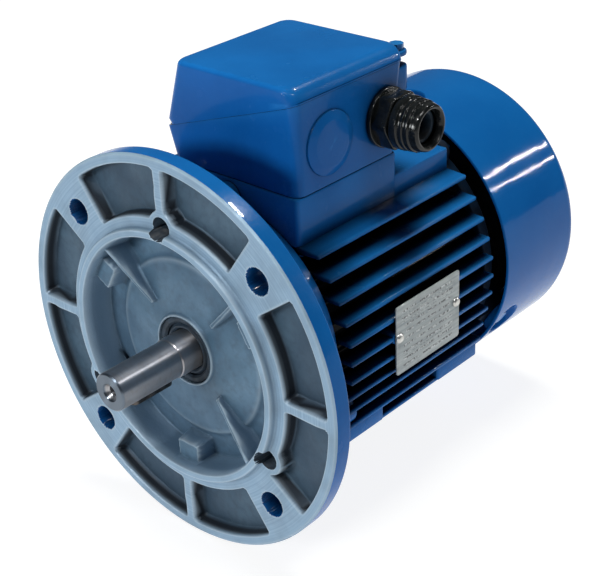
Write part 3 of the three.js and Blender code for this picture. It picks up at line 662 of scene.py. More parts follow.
FLANGE_R, FLANGE_BACK, BOLT_CIRCLE_R, BOLT_HOLE_R = 100, 11, 82.5, 6
SCREW_CIRCLE_R, SCREW_HOLE_R, SCREW_RECESS_R, SCREW_DEPTH = 66.5, 4.6, 5.3, 25.9
BOLT_ANGLES = (45, 135, 225, 315)
SCREW_ANGLES = (90, -30, -150)
REAR_SCREW_ANGLES = (60, 180, 300)
DISH_BLOCK_ANGLES = (30, 150, 270)
SPIGOT_INNER_R, SPIGOT_HEIGHT = 61, 3.5
POCKET_INNER_R, POCKET_OUTER_R, POCKET_DEPTH = 69.9, 95, 7.4
RIB_HALF, PAD_HALF_ANGLE, LOBE_R = 2.5, 9.3, 8
WALL_SLOPE = 9


def on_screw_circle(name, profile, turns, look=PAINT, closed=False):
    """The same small lathed piece at several angles on the screw circle."""
    return [lathe(name, profile, look, 40, closed, axis_y(*at_angle(SCREW_CIRCLE_R, turn)))
            for turn in turns]


def away_from(x, z, spot):
    return np.hypot(x - spot[0], z - spot[1])


def along_ray(x, z, degrees):
    """How far points lie along a ray from the shaft, and how far off it."""
    ray_x, ray_z = at_angle(1, degrees)
    return x * ray_x + z * ray_z, np.abs(x * ray_z - z * ray_x)


def dense(start, stop, spans, fine, coarse):
    """Values from start to stop, close together inside the spans and further apart outside them."""
    values, at = [], start
    while at < stop:
        values.append(at)
        inside = any(a <= at < b for a, b in spans)
        step = fine if inside else coarse
        ahead = [a for a, b in spans if a > at + 1e-9]
        if not inside and ahead:
            step = min(step, max(min(ahead) - at, fine))
        at += step
    return np.array(values)


def ramped(value, start, stop, low, high):
    t = np.clip((value - start) / (stop - start), 0, 1)
    return low + (high - low) * t * t * (3 - 2 * t)


def dish_depth(x, z, r):
    """The seal's seat and the dished centre, with its four ribs and three blocks."""
    depth = np.interp(r, [17, 17.4, 18.1, 18.7, 45, 47.5, 59.6], [6.9, 6.5, 6.5, 8.3, 10.6, 12.6, 13.4])
    for turn in BOLT_ANGLES:
        outward, across = along_ray(x, z, turn)
        crest = np.interp(outward, [26, 60.5], [6.9, 0.7])
        side = np.maximum(across - 0.9, 27.5 - outward)
        depth = soft_min(depth, crest + WALL_SLOPE * np.maximum(side, 0), 1.2)
    for turn in DISH_BLOCK_ANGLES:
        outward, across = along_ray(x, z, turn)
        side = soft_max(across - 6.6, 50.5 - outward, 1.0)
        depth = soft_min(depth, 3 + WALL_SLOPE * np.maximum(side, 0), 1.0)
    return depth


def spigot_depth(r):
    """The raised ring that centres the flange, with rounded edges and steep sides."""
    depth = -SPIGOT_HEIGHT + np.maximum(0, 14 * (60.6 - r)) + 0.8 * ramped(r, 60.5, 61.1, 1, 0)
    depth += np.maximum(0, 16 * (r - 64.7)) + 0.7 * ramped(r, 64.1, 64.8, 0, 1)
    return depth


def past_pockets(x, z, r):
    """Distance outside the recessed pockets, which end at the ribs, bolt pads and screw lobes."""
    fold_x, fold_z = np.maximum(np.abs(x), np.abs(z)), np.minimum(np.abs(x), np.abs(z))
    pad_x, pad_z = at_angle(1, 45 - PAD_HALF_ANGLE)
    pad = -(fold_x * pad_z - fold_z * pad_x)
    past = soft_max(soft_max(POCKET_INNER_R - r, r - POCKET_OUTER_R, 2.0),
                    soft_max(RIB_HALF - fold_z, pad, 2.0), 2.0)
    for turn in SCREW_ANGLES:
        past = soft_max(past, LOBE_R - away_from(x, z, at_angle(SCREW_CIRCLE_R, turn)), 1.5)
    return past


def flange_face_height(x, z):
    """Depth of the flange's front surface behind its mounting face, over the points of a disc."""
    r = np.hypot(x, z)
    rim = 0.9 * ramped(r, 98.9, 99.9, 0, 1)
    ring = soft_max(rim, POCKET_DEPTH - WALL_SLOPE * np.maximum(past_pockets(x, z, r) + 0.9, 0), 0.8)
    spigot = spigot_depth(r)
    centre = soft_min(dish_depth(x, z, r), spigot, 0.8)
    depth = np.where(r < SPIGOT_INNER_R, centre, np.minimum(ring, spigot))
    for turn in SCREW_ANGLES:
        away = away_from(x, z, at_angle(SCREW_CIRCLE_R, turn))
        depth = np.maximum(depth, 0.6 - 5.8 * (away - SCREW_HOLE_R))
        depth = np.where(away < SCREW_HOLE_R + 0.02, SCREW_DEPTH, depth)
    for turn in BOLT_ANGLES:
        away = away_from(x, z, at_angle(BOLT_CIRCLE_R, turn))
        depth = np.maximum(depth, 0.7 - 1.2 * (away - BOLT_HOLE_R))
        depth = np.where(away < BOLT_HOLE_R + 0.02, FLANGE_BACK, depth)
    return depth


def snapped(x, z, hole, radius, reach):
    """Moves points near a hole's edge onto it, so that the edge is round."""
    away = away_from(x, z, hole)
    scale = np.where(np.abs(away - radius) < reach, radius / np.maximum(away, 1e-6), 1)
    return hole[0] + (x - hole[0]) * scale, hole[1] + (z - hole[1]) * scale


def flange_disc(name, radii, turns, surface, look):
    """A disc surface over a polar grid of radii and angles, with the bolt holes left out."""
    angles = np.radians(turns)
    x = radii[:, None] * np.cos(angles)
    z = radii[:, None] * np.sin(angles)
    for turn in BOLT_ANGLES:
        x, z = snapped(x, z, at_angle(BOLT_CIRCLE_R, turn), BOLT_HOLE_R, 0.28)
    for turn in SCREW_ANGLES:
        for radius in (SCREW_HOLE_R, SCREW_RECESS_R):
            x, z = snapped(x, z, at_angle(SCREW_CIRCLE_R, turn), radius, 0.33)
    y = surface(x, z)
    hole = np.zeros_like(x, bool)
    for turn in BOLT_ANGLES:
        hole |= away_from(x, z, at_angle(BOLT_CIRCLE_R, turn)) < BOLT_HOLE_R + 0.01
    hole = hole.ravel()
    faces = [face for face in turned_over(ring_faces(*x.shape)) if not all(hole[v] for v in face)]
    points = np.stack([x, y, z], axis=-1).reshape(-1, 3)
    item = mesh_object(name, points, faces, look, PAINT, RUBBER)
    with editing(item) as made:
        paint_hole_walls(made)
        bmesh.ops.delete(made, geom=[v for v in made.verts if not v.link_faces], context="VERTS")
    return item


def paint_hole_walls(made):
    """Gives the bolt holes' walls the paint, and the screw recesses a near-black material as painted shade in
    those deep holes.
    """
    bolts = [at_angle(BOLT_CIRCLE_R, turn) for turn in BOLT_ANGLES]
    screws = [at_angle(SCREW_CIRCLE_R, turn) for turn in SCREW_ANGLES]
    for face in made.faces:
        depths = [v.co.y / MM for v in face.verts]
        if max(depths) - min(depths) < 3 and max(depths) < 20:
            continue
        x, z = face.calc_center_median().xz / MM
        if any(math.dist((x, z), spot) < 7.5 for spot in bolts):
            face.material_index = 1
        # Painted shade: the deep screw recesses take the near-black rubber material.
        elif any(math.dist((x, z), spot) < 6 for spot in screws):
            face.material_index = 2


def flange_shield():
    fine = [(17, 19.5), (27, 29.5), (49, 62), (63.5, 74), (76, 89.5), (93.5, 100)]
    radii = np.append(dense(17.2, 99.9, fine, 0.42, 1.1), 99.95)
    features = [(0, 5), (19, 57), (80, 100), (123, 161), (175, 185), (200, 237), (259, 281), (303, 340),
                (355, 360)]
    turns = dense(0, 360, features, 0.42, 1.0)
    front = flange_disc("flange_front", radii, turns, flange_face_height, CAST)
    radii = np.append(dense(68, 98, [(75, 90)], 0.5, 2.5), 98)
    turns = dense(0, 360, [(turn - 6, turn + 6) for turn in BOLT_ANGLES], 0.42, 2.0)
    back = flange_disc("flange_back", radii, turns, lambda x, z: np.full_like(x, FLANGE_BACK), PAINT)
    back.data.flip_normals()
    rim = rounded([(FLANGE_R - 0.05, 0.9), (FLANGE_R, 9), (98, FLANGE_BACK)], 1.2, closed=False)
    outer = lathe("flange_rim", rim, PAINT, 240, closed=False)
    neck = rounded([(68, FLANGE_BACK), (64, 14.8), (64, 43.7), (56, 43.9), (56, 49), (53, 49), (53, 41)],
                   [0, 5, 0.6, 0, 0.6, 0, 0], closed=False)
    body = lathe("flange_neck", neck, PAINT, 160, closed=False)
    seat = [(23.6, 31.5), (29, 31.5), (29, 16), (49, 18.6), (57.5, 22), (53, 41)]
    inside = lathe("flange_inside", seat, CAST, 96, closed=False)
    bore = lathe("flange_bore", [(17.2, 6.5), (17.2, 14.2), (14, 14.2), (14, 16), (23.6, 16), (23.6, 31.5)],
                 CAST, 96, closed=False)
    column = rounded([(11.5, 11), (7.5, 14), (7.5, 43.8), (0.01, 43.8)], [0, 3, 0.6, 0], closed=False)
    columns = on_screw_circle("flange_column", column, SCREW_ANGLES)
    shield = merged("flange_shield_casting", [front, back, outer, body, inside, bore, *columns])
    return finish_piece(shield, "housing", "cast_aluminium", "flange_shield")


# ---- Shaft end, key and seal ----------------------------------------------------------------------

def shaft_end():
    profile = [(0.01, -24), (2.5, -25.4), (2.5, -37.6), (3.3, -38.2), (4.6, -40), (8.8, -40), (9.5, -39.3),
               (9.5, -3.4), (9.9, -3.0), (10, -2.6), (10, 30.6), (12, 30.6), (12, 62), (14, 62), (14, 138),
               (12, 138), (12, 146.6), (10, 146.6), (10, 170), (8.5, 171), (8.5, 207.2), (7.7, 207.2),
               (7.7, 208.8), (8.5, 208.8), (8.5, 211.4), (7.9, 212), (0.01, 212)]
    shaft = lathe("shaft_turned", profile, TURNED, 128)
    slot = prism("keyway", [box_outline(-3.05, 3.05, -29.05, -3.95, 3, 8)], "XY", -13, -6, TURNED, edge=0.05)
    cut(shaft, slot)
    return finish_piece(shaft, "rotor", "machine_steel", "shaft")


def shaft_key():
    outline = box_outline(-3, 3, -29, -4, 2.96, 8)
    key = prism("shaft_key_bar", [outline], "XY", -12, -6.1, KEY_STEEL, edge=0.35)
    return finish_piece(key, "rotor", "machine_steel", "shaft_key")


def front_seal():
    lip = [(10.3, 9.4), (10.5, 8.8), (11.4, 7.8), (12.2, 8.0), (13.0, 9.4), (13.6, 9.4), (13.6, 14),
           (10.4, 14)]
    case = [(13.4, 8.6), (14.6, 7.5), (16.6, 7.5), (17.0, 7.9), (17.0, 14), (13.7, 14), (13.7, 9.2)]
    rings = [lathe("seal_case", rounded(case, 0.3, 2), RUBBER, 96),
             lathe("seal_lip", rounded(lip, 0.3, 2), RUBBER, 96)]
    return finish_piece(merged("front_seal_ring", rings), "housing", "seal_rubber", "front_seal")


# ---- Stator frame ---------------------------------------------------------------------------------

FRAME_FRONT, FRAME_REAR, BORE_R, BARREL_R = 44, 156, 56.5, 62
FIN_PITCH, FIN_ROOT, FIN_TIP = 10, 30, 0.8
PEDESTAL_HALF = 42.4
PLATE_HOLES = (77.4, 121.8)
SIDE_REACH = (72, 71.5, 69.2, 65.5, 60.4, 54)
LOW_REACH = (72, 71.5, 69.2, 66.5, 64.5, 61)


def fin_distance(out, across, reach):
    """Distance to one tapered fin with a rounded tip; out is along it and across is off its middle."""
    half = np.interp(out, [40, reach], [2.2, 1.15])
    past = np.hypot(np.maximum(out - (reach - FIN_TIP), 0), np.maximum(across - (half - FIN_TIP), 0))
    inner = np.minimum(np.maximum(out - reach, across - half), 0)
    return past - FIN_TIP + np.where(past == 0, inner + FIN_TIP, 0)


def frame_distance(x, z):
    """Signed distance to the section of the finned frame."""
    barrel = np.hypot(x, z) - BARREL_R
    fins = np.full_like(barrel, 99.0)
    for row in range(-5, 6):
        reach = LOW_REACH[-row] if row < 0 else SIDE_REACH[row]
        fin = fin_distance(np.abs(x), np.abs(z - FIN_PITCH * row), reach)
        fins = np.minimum(fins, np.maximum(fin, FIN_ROOT - np.abs(x)))
    for row in range(-4, 5):
        fin = fin_distance(-z, np.abs(x - FIN_PITCH * row), LOW_REACH[abs(row)])
        fins = np.minimum(fins, np.maximum(fin, FIN_ROOT + z))
    return soft_min(barrel, fins, 2.2)


def contour(distance, low, high, step):
    """The zero lines of a distance field over a square, as closed loops of points."""
    values = np.arange(low, high + step, step)
    x, z = np.meshgrid(values, values, indexing="ij")
    field = distance(x, z)
    inside = field < 0
    cells = inside[:-1, :-1].astype(int) + inside[1:, :-1] * 2 + inside[1:, 1:] * 4 + inside[:-1, 1:] * 8
    spots, joins = {}, {}

    def crossing(a, b):
        key = (min(a, b), max(a, b))
        if key not in spots:
            fa, fb = field[a], field[b]
            t = fa / (fa - fb)
            pa, pb = np.array([x[a], z[a]]), np.array([x[b], z[b]])
            spots[key] = pa + t * (pb - pa)
        return key

    for i, j in zip(*np.nonzero((cells > 0) & (cells < 15))):
        corners = [(i, j), (i + 1, j), (i + 1, j + 1), (i, j + 1)]
        crossed = [crossing(corners[k], corners[(k + 1) % 4]) for k in range(4)
                   if inside[corners[k]] != inside[corners[(k + 1) % 4]]]
        for a, b in zip(crossed[::2], crossed[1::2]):
            joins.setdefault(a, []).append(b)
            joins.setdefault(b, []).append(a)
    loops = []
    while joins:
        start = next(iter(joins))
        loop, at, last = [start], joins[start][0], start
        while at != start:
            loop.append(at)
            ahead = [n for n in joins[at] if n != last]
            last, at = at, ahead[0]
        for key in loop:
            joins.pop(key, None)
        loops.append(np.array([spots[key] for key in loop]))
    return loops


def evened(loop, spacing):
    """The same loop with points an even distance apart."""
    ends = np.vstack([loop, loop[:1]])
    lengths = np.concatenate([[0], np.cumsum(np.linalg.norm(np.diff(ends, axis=0), axis=1))])
    count = int(lengths[-1] / spacing)
    at = np.linspace(0, lengths[-1], count, endpoint=False)
    return np.stack([np.interp(at, lengths, ends[:, c]) for c in (0, 1)], axis=1)


def finned_barrel():
    loops = sorted(contour(frame_distance, -80, 80, 0.4), key=len)
    outer = evened(loops[-1], 0.55)
    return prism("frame_barrel", [outer, circle(0, 0, BORE_R, 120)], "XZ", FRAME_FRONT, FRAME_REAR,
                 SHADED_FIN_PAINT, edge=0.8, sharp=50)


def frame_block(name, u, v, w, radius, edge):
    """A cast block over x and y spans with rounded upright corners, from one height to another."""
    return prism(name, [box_outline(*u, *v, radius)], "XY", *w, PAINT, edge=edge)


def stator_frame():
    across = (-PEDESTAL_HALF, PEDESTAL_HALF)
    parts = [finned_barrel()]
    parts.append(frame_block("pedestal", across, (44.0, 115), (46, 75), 2.5, 1.2))
    parts.append(frame_block("ledge", across, (112, FRAME_REAR), (46, 63), 1.5, 1.0))
    for x_span in ((-62, -34), (34, 62)):
        for y_span in ((FRAME_FRONT, 78), (122, FRAME_REAR)):
            parts.append(frame_block("foot_pad", x_span, y_span, (-50.5, -39.5), 1.5, 0.9))
    front_lug = rounded([(0.01, 44.1), (7.2, 44.1), (7.2, 55), (0.01, 59.5)], [0, 0.7, 3, 0], closed=False)
    parts += on_screw_circle("front_lug", front_lug, SCREW_ANGLES)
    rear_lug = rounded([(0.01, 142), (6.2, 146), (6.2, 156), (0.01, 156)], [0, 3, 0.6, 0], closed=False)
    parts += on_screw_circle("rear_lug", rear_lug, REAR_SCREW_ANGLES)
    boss = rounded([(4.2, 60), (3.6, 72), (0.01, 72)], [0, 0.6, 0], closed=False)
    parts += [lathe("plate_boss", boss, PAINT, 32, False, axis_x(y, 0)) for y in PLATE_HOLES]
    frame_casting = merged("stator_frame_casting", parts)
    return finish_piece(frame_casting, "housing", "blue_paint", "stator_frame")


# ---- Rear end shield and fan cover ----------------------------------------------------------------

COVER_R, COVER_FRONT, COVER_REAR, COVER_WALL, COVER_CORNER_R = 75, 164.5, 228, 1.6, 6
DIMPLE_Y, DIMPLE_DEPTH = 176, 4.3


def rear_shield():
    profile = rounded([(10.8, 163.5), (66, 163.5), (66, 156.1), (56.2, 156.1), (56.2, 150), (53.2, 150),
                       (53.2, 157), (29, 159), (29, 146.5), (23.6, 146.5), (23.6, 162.1), (10.8, 162.1)],
                      [0.4, 1.5, 0.8, 0, 0.4, 0.4, 0, 2, 0.5, 0.3, 0, 0.3])
    ear = rounded([(6.7, 156.1), (6.7, 161), (4.8, 161), (4.8, 163.5), (2.6, 163.5), (2.6, 156.1)],
                  [0.5, 0.7, 0, 0, 0, 0])
    # The rear shield is near-black as painted shade, where it lies in shadow behind the fins.
    parts = [lathe("rear_plate", profile, PAINTED_SHADOW, 128)]
    parts += on_screw_circle("rear_ear", ear, REAR_SCREW_ANGLES, PAINTED_SHADOW, True)
    for turn in SCREW_ANGLES:
        lug = prism("cover_lug", [box_outline(58, 69, 158, 183, 1.2)], "XY", -7, 7, PAINTED_SHADOW, edge=0.8)
        parts.append(turn_about_shaft(lug, turn))
    shield = merged("rear_shield_casting", parts)
    return finish_piece(shield, "housing", "blue_paint", "rear_shield")


def cover_radius(y, turn, radius):
    """The cover wall's radius with its three round dimples pressed in."""
    pressed = np.full(np.broadcast(y, turn).shape, radius, float)
    for dimple in SCREW_ANGLES:
        off = np.radians((turn - dimple + 180) % 360 - 180) * COVER_R
        away = np.hypot(off, y - DIMPLE_Y)
        pressed = np.where(away < 13, pressed - ramped(away, 10.6, 9.0, 0, 1) * DIMPLE_DEPTH, pressed)
        pressed += 0.35 * np.exp(-((away - 11.2) / 0.9) ** 2)
    return np.minimum(pressed, COVER_R)


def cover_wall(name, radius, inward=False):
    rows = np.unique(np.concatenate([np.linspace(COVER_FRONT + 0.6, 188, 60), np.linspace(188, 222, 20)]))
    spans = sorted([(a % 360 - 10, a % 360 + 10) for a in SCREW_ANGLES])
    y, turn = np.meshgrid(rows, dense(0, 360, spans, 0.35, 2.0), indexing="ij")
    r = cover_radius(y, turn, radius)
    points = np.stack([r * np.cos(np.radians(turn)), y, r * np.sin(np.radians(turn))], axis=-1)
    faces = ring_faces(*y.shape)
    return mesh_object(name, points.reshape(-1, 3), turned_over(faces) if inward else faces, SMOOTH_PAINT)


def cover_corner(name, radius):
    """The rounded turn from the cover's wall to its rear face."""
    turns = [math.radians(a) for a in range(0, 91, 9)]
    middle_r, middle_y = COVER_R - COVER_CORNER_R, COVER_REAR - COVER_CORNER_R
    profile = [(middle_r + radius * math.cos(a), middle_y + radius * math.sin(a)) for a in turns]
    return lathe(name, profile, SMOOTH_PAINT, 200, closed=False)


def air_slot(inner, outer, start, stop):
    """One curved slot with rounded ends between two radii and two angles, in the rear face."""
    middle, half = (inner + outer) / 2, (outer - inner) / 2
    pad = math.degrees(half / middle)
    sweep = np.radians(np.linspace(start + pad, stop - pad, max(6, int((stop - start) * middle / 150))))
    loop = [(outer * math.cos(a), outer * math.sin(a)) for a in sweep]
    for centre, side in ((sweep[-1], 1), (sweep[0], -1)):
        cx, cz = middle * math.cos(centre), middle * math.sin(centre)
        for k in range(1, 6):
            a = centre + (0 if side > 0 else math.pi) + math.pi * k / 6
            loop.append((cx + half * math.cos(a), cz + half * math.sin(a)))
        if side > 0:
            loop += [(inner * math.cos(a), inner * math.sin(a)) for a in sweep[::-1]]
    return loop


def cover_grille():
    loops = [circle(0, 0, COVER_R - COVER_CORNER_R, 160)]
    slot_width, half_bar = 7, 3.5
    for inner in (14, 27, 40, 53):
        spoke = math.degrees(half_bar / (inner + slot_width / 2))
        for start in range(0, 360, 90):
            loops.append(air_slot(inner, inner + slot_width, start + spoke, start + 90 - spoke))
    return prism("cover_grille", loops, "XZ", COVER_REAR - COVER_WALL, COVER_REAR, SMOOTH_PAINT, edge=0.4)


def fan_cover():
    outer = cover_wall("cover_outside", COVER_R)
    inner = cover_wall("cover_inside", COVER_R - COVER_WALL, inward=True)
    curl = [(73.4, 165.1), (73.4, 164.8), (73.8, 164.5), (74.6, 164.5), (75, 164.8), (75, 165.1)]
    lip = lathe("cover_lip", curl, SMOOTH_PAINT, 200, closed=False)
    corner = cover_corner("cover_corner", COVER_CORNER_R)
    lining = cover_corner("cover_lining", COVER_CORNER_R - COVER_WALL)
    lining.data.flip_normals()
    cover = merged("fan_cover_shell", [outer, inner, lip, corner, lining, cover_grille()])
    return finish_piece(cover, "housing", "blue_paint", "fan_cover")


# ---- Terminal box and lid -------------------------------------------------------------------------

BOX_HALF, BOX_FRONT, BOX_REAR, BOX_FOOT, BOX_LEVEL_TOP = PEDESTAL_HALF, 45, 121.5, 75.3, 90.5
LID_TOP, LID_SHOULDER, LID_LIP = 126, 118, 0.6
PARTING_LOW, PARTING_RISE = 91, 27.7
PORT_Z, GLAND_Y, KNOCKOUT_Y = 95.3, 106.8, 67


def parting(x):
    """Height of the slanting joint between box and lid."""
    return PARTING_LOW + (x + BOX_HALF) * PARTING_RISE / (2 * BOX_HALF)


def plan_outline(x0, x1, y0, y1, corner, steps=8, splits=13):
    """A rounded rectangle with the same number of points at every size, also along its sides."""
    made = []
    for cx, cy, start in ((x1 - corner, y0 + corner, -90), (x1 - corner, y1 - corner, 0),
                          (x0 + corner, y1 - corner, 90), (x0 + corner, y0 + corner, 180)):
        for k in range(steps + 1):
            a = math.radians(start + 90 * k / steps)
            made.append((cx + corner * math.cos(a), cy + corner * math.sin(a)))
    full = []
    for number, (a, b) in enumerate(zip(made, made[1:] + made[:1])):
        full.append(a)
        if number % (steps + 1) == steps:
            full += [(a[0] + (b[0] - a[0]) * k / splits, a[1] + (b[1] - a[1]) * k / splits)
                     for k in range(1, splits)]
    return full


def stacked(name, levels, look):
    """A solid through loops of points with the same count, closed flat at both ends."""
    count = len(levels[0])
    points = [p for level in levels for p in level]
    faces = ring_faces(len(levels), count)
    faces.append(tuple(reversed(range(count))))
    faces.append(tuple(range(len(points) - count, len(points))))
    return smoothed(face_out(mesh_object(name, points, faces, look)), 30)


def settled(outline_at, bottom_at, top_at, fraction, k, x):
    """Point k of an outline, part of the way up between two heights that depend on the point's own x."""
    for _ in range(3):
        z = bottom_at(x) * (1 - fraction) + top_at(x) * fraction
        x, y = outline_at(z)[k]
    return x, y, z


def inset_for(z, fillet):
    """How far a rounded top edge has drawn in at a height."""
    rise = max(0.0, z - (LID_TOP - fillet))
    return fillet - math.sqrt(max(fillet * fillet - rise * rise, 0.0))


def lid_level(z):
    """The lid's outline at a height; its left side leans in and its upper edges are rounded."""
    z = max(z, PARTING_LOW)
    left = -43.0 + (z - PARTING_LOW) * 11.5 / 35 + inset_for(z, 2.0) * 0.8
    right = BOX_HALF + LID_LIP - inset_for(z, 8.0)
    front = BOX_FRONT - LID_LIP + inset_for(z, 2.2)
    rear = BOX_REAR + LID_LIP - inset_for(z, 2.2)
    return plan_outline(left, right, front, rear, 5.6)


def corner_lug(name, x, low, high, front):
    """A round-ended lug for a screw behind the box or lid."""
    outline = box_outline(x - 5, x + 5, front, 131, 4.9, 8)
    return prism(name, [outline], "XY", low, high, PAINT, edge=1.0)


def lid_lowest(x):
    return parting(x) + 1.0


def terminal_lid():
    levels = []
    for gap in (0.12, 0.27, 0.72):
        levels.append([(x, y, parting(x) + gap) for x, y in lid_level(100.0)])
    for fraction in np.linspace(0, 1, 12)[1:-1]:
        level = []
        for k, (x, y, z) in enumerate(levels[0]):
            x, y, z = settled(lid_level, lid_lowest, lambda x: LID_SHOULDER, fraction, k, x)
            level.append((x, y, max(z, lid_lowest(x))))
        levels.append(level)
    for degrees in range(0, 91, 6):
        height = LID_SHOULDER + (LID_TOP - LID_SHOULDER) * math.sin(math.radians(degrees))
        levels.append([(x, y, max(height, lid_lowest(x))) for x, y in lid_level(height)])
    parts = [stacked("lid_shell", levels, PAINT)]
    for x, top in ((34, 121), (-30, 107)):
        parts.append(corner_lug("lid_lug", x, parting(x + 5) + 0.6, top, 114))
    lid = merged("terminal_lid_shell", parts)
    return finish_piece(lid, "housing", "blue_paint", "terminal_lid")


def box_level(z):
    """The box's outline at a height; its left and rear sides lean out."""
    low = min(max((z - 75.9) / 15.1, 0), 1)
    high = min(max((z - 75.9) / 42.8, 0), 1)
    return plan_outline(-38 - 4.4 * low, BOX_HALF, BOX_FRONT, 115 + 6.5 * high, 5.0)


def box_highest(x):
    return max(parting(x) - 0.15, BOX_LEVEL_TOP + 0.1)


def terminal_box():
    levels = []
    for height in (BOX_FOOT, 75.8, 80, 86, BOX_LEVEL_TOP):
        levels.append([(x, y, height) for x, y in box_level(height)])
    for fraction in np.linspace(0, 1, 8)[1:]:
        levels.append([settled(box_level, lambda x: BOX_LEVEL_TOP, box_highest, fraction, k, x)
                       for k, (x, y, z) in enumerate(levels[0])])
    parts = [stacked("box_shell", levels, PAINT)]
    for x in (34, -30):
        parts.append(corner_lug("box_lug", x, parting(x) - 15, parting(x - 5) - 0.6, 112))
    boss = rounded([(14.2, 30), (14.2, 42.0), (0.01, 42.0)], [0, 1.5, 0], closed=False)
    parts.append(lathe("port_boss", boss, PAINT, 64, False, axis_x(GLAND_Y, PORT_Z)))
    cap = rounded([(15.5, 41.8), (15.2, 43.3), (11.0, 44.7), (6, 44.8)], [0, 0.5, 4, 0], 6, closed=False)
    cap += [(4, 44.8), (1.2, 44.8), (0.01, 44.8)]
    parts.append(lathe("knockout", cap, PAINT, 96, False, axis_x(KNOCKOUT_Y, PORT_Z)))
    box = merged("terminal_box_shell", parts)
    return finish_piece(box, "housing", "blue_paint", "terminal_box")


# ---- Cable gland ----------------------------------------------------------------------------------

GLAND_AXIS = axis_x(GLAND_Y, PORT_Z)


def gland_body():
    collar = rounded([(7.5, 30), (9.9, 30), (9.9, 42.7), (14, 42.7), (14.6, 43.6), (14.6, 45.2), (10, 45.2),
                      (9.9, 53), (9.5, 58), (7.5, 58)], [0.4, 0.5, 0, 0.3, 0.4, 0.5, 0, 0, 0.6, 0.4])
    hexagon = rounded(circle(GLAND_Y, PORT_Z, 14.6, 6), 3.5, 6)
    bore = circle(GLAND_Y, PORT_Z, 9.6, 48)
    parts = [lathe("gland_collar", collar, PLASTIC, 96, True, GLAND_AXIS),
             prism("gland_hexagon", [hexagon, bore], "YZ", 44.9, 53.4, PLASTIC, edge=0.7, steps=3)]
    body = merged("gland_body_moulding", parts)
    return finish_piece(body, "housing", "black_plastic", "gland_body")


def gland_nut():
    outside = [(10.4, 53.8), (12.4, 53.8), (13.0, 54.6), (13.0, 58.0), (12.2, 58.6), (11.9, 59.6),
               (12.6, 60.2), (12.7, 61.2), (12.1, 61.7), (12.0, 62.5), (12.5, 63.1), (12.4, 64.4),
               (11.6, 64.9), (11.4, 65.8), (11.7, 66.4), (11.2, 68.4), (10.5, 69.2), (9.9, 69.4),
               (9.2, 69.2), (7.8, 66.2), (10.3, 63.5)]
    nut = lathe("gland_nut_moulding", rounded(outside, 0.35, 2), PLASTIC, 120, True, GLAND_AXIS, sharp=50)
    return finish_piece(nut, "housing", "black_plastic", "gland_nut")


def gland_seal():
    ring = rounded([(6.2, 58.3), (9.6, 58.3), (9.6, 62), (8, 64.5), (6.2, 64.5)], 0.4, 2)
    seal = lathe("gland_seal_ring", ring, RUBBER, 64, True, GLAND_AXIS)
    return finish_piece(seal, "housing", "seal_rubber", "gland_seal")


# ---- Nameplate ------------------------------------------------------------------------------------

PLATE_BACK, PLATE_FRONT = 72.4, 73.1
COLUMNS = ((82, 88), (90, 97), (99, 106), (108, 117))
PRINT_ROWS = {
    13.2: ((79, 90), (93, 118)),
    9.4: ((79, 100), (103, 119)),
    5.2: ((81, 88), *COLUMNS[1:]),
    1.6: COLUMNS,
    -2.0: COLUMNS,
    -5.6: ((80, 88), *COLUMNS[1:3], (108, 119)),
    -9.2: ((80, 95), (98, 119)),
    -13.0: ((80, 104), (107, 119)),
    -16.4: ((80, 92), (95, 119)),
}
RULES = (11.2, 7.4, -11.1)


def raised_mark(name, y_span, z, half, corner, height, edge):
    """A meaningless raised bar on the nameplate."""
    outline = box_outline(*y_span, z - half, z + half, *corner)
    return prism(name, [outline], "YZ", PLATE_FRONT - 0.05, PLATE_FRONT + height, INK, edge=edge)


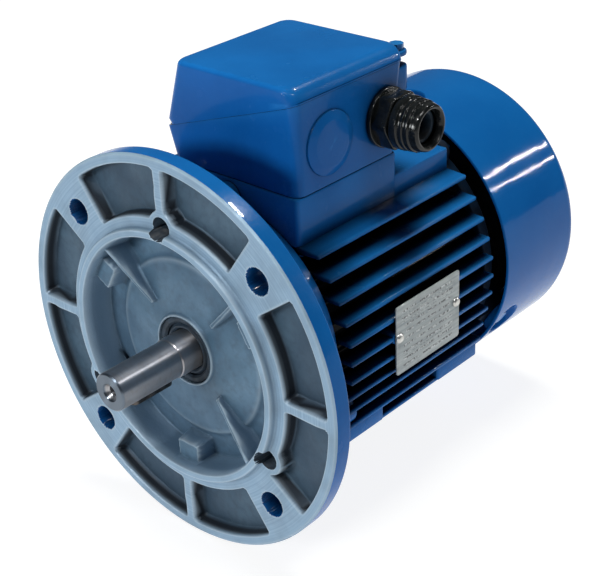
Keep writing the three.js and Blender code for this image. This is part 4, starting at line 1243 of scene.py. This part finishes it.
def nameplate():
    outline = box_outline(74.8, 124.4, -20, 17, 1.4, 5)
    holes = [circle(y, 0, 1.7, 24) for y in PLATE_HOLES]
    parts = [prism("plate_sheet", [outline, *holes], "YZ", PLATE_BACK, PLATE_FRONT, PLATE, edge=0.12)]
    for z, spans in PRINT_ROWS.items():
        parts += [raised_mark("plate_mark", span, z, 0.55, (0.3, 2), 0.04, 0.03) for span in spans]
    for z in RULES:
        parts.append(raised_mark("plate_rule", (78.8, 119.6), z, 0.12, (0.05, 1), 0.03, 0.02))
    sheet = merged("nameplate_sheet", parts)
    return finish_piece(sheet, "housing", "plate_metal", "nameplate")


def rivets():
    head = rounded([(0.01, 74.5), (1.6, 74.4), (2.6, 73.4), (2.6, PLATE_FRONT), (1.6, PLATE_FRONT),
                    (1.6, 66.6), (0.01, 66.6)], [0, 1.2, 0.2, 0, 0, 0, 0], closed=False)
    for number, y in enumerate(PLATE_HOLES, start=1):
        rivet = lathe(f"rivet_head_{number}", head, PLATED, 40, False, axis_x(y, 0))
        finish_piece(rivet, "housing", "plate_metal", f"nameplate_rivet_{number}")


# ---- Everything -----------------------------------------------------------------------------------

def dress_cad_nodes():
    """Gives every CAD node that stays the finish of its material slot; outer screws are painted over."""
    for entry in frame["record"]["subparts"]:
        mesh = frame["nodes"][entry["node"]].data
        painted = entry["node"].startswith(("lid_screw", "cover_screw", "rear_screw"))
        mesh.materials.clear()
        mesh.materials.append(PAINT if painted else CAD_LOOKS[entry["material_slot"]])


FLOOR_Z, STAGE_HALF, WALL_R, WALL_TOP = -101, 3000, 2900, 3000


def add_stage():
    """A pale floor, and a pale wall far round it that only the camera sees."""
    corners = [(-STAGE_HALF, -STAGE_HALF, FLOOR_Z), (STAGE_HALF, -STAGE_HALF, FLOOR_Z),
               (STAGE_HALF, STAGE_HALF, FLOOR_Z), (-STAGE_HALF, STAGE_HALF, FLOOR_Z)]
    floor = mesh_object("studio_floor", corners, [(0, 1, 2, 3)], studio_floor())
    ring = circle(0, 0, WALL_R, 64)
    points = [(x, y, height) for height in (FLOOR_Z, WALL_TOP) for x, y in ring]
    faces = turned_over(ring_faces(2, len(ring)))
    wall = mesh_object("studio_wall", points, faces, studio_wall())
    wall.visible_diffuse = False
    wall.visible_glossy = False
    wall.visible_shadow = False


bpy.context.scene.view_settings.view_transform = "Standard"
add_camera()
add_world(0.10)
add_lights()
add_stage()

dress_cad_nodes()
flange_shield()
shaft_end()
shaft_key()
front_seal()
stator_frame()
rear_shield()
fan_cover()
terminal_box()
terminal_lid()
gland_body()
gland_nut()
gland_seal()
nameplate()
rivets()
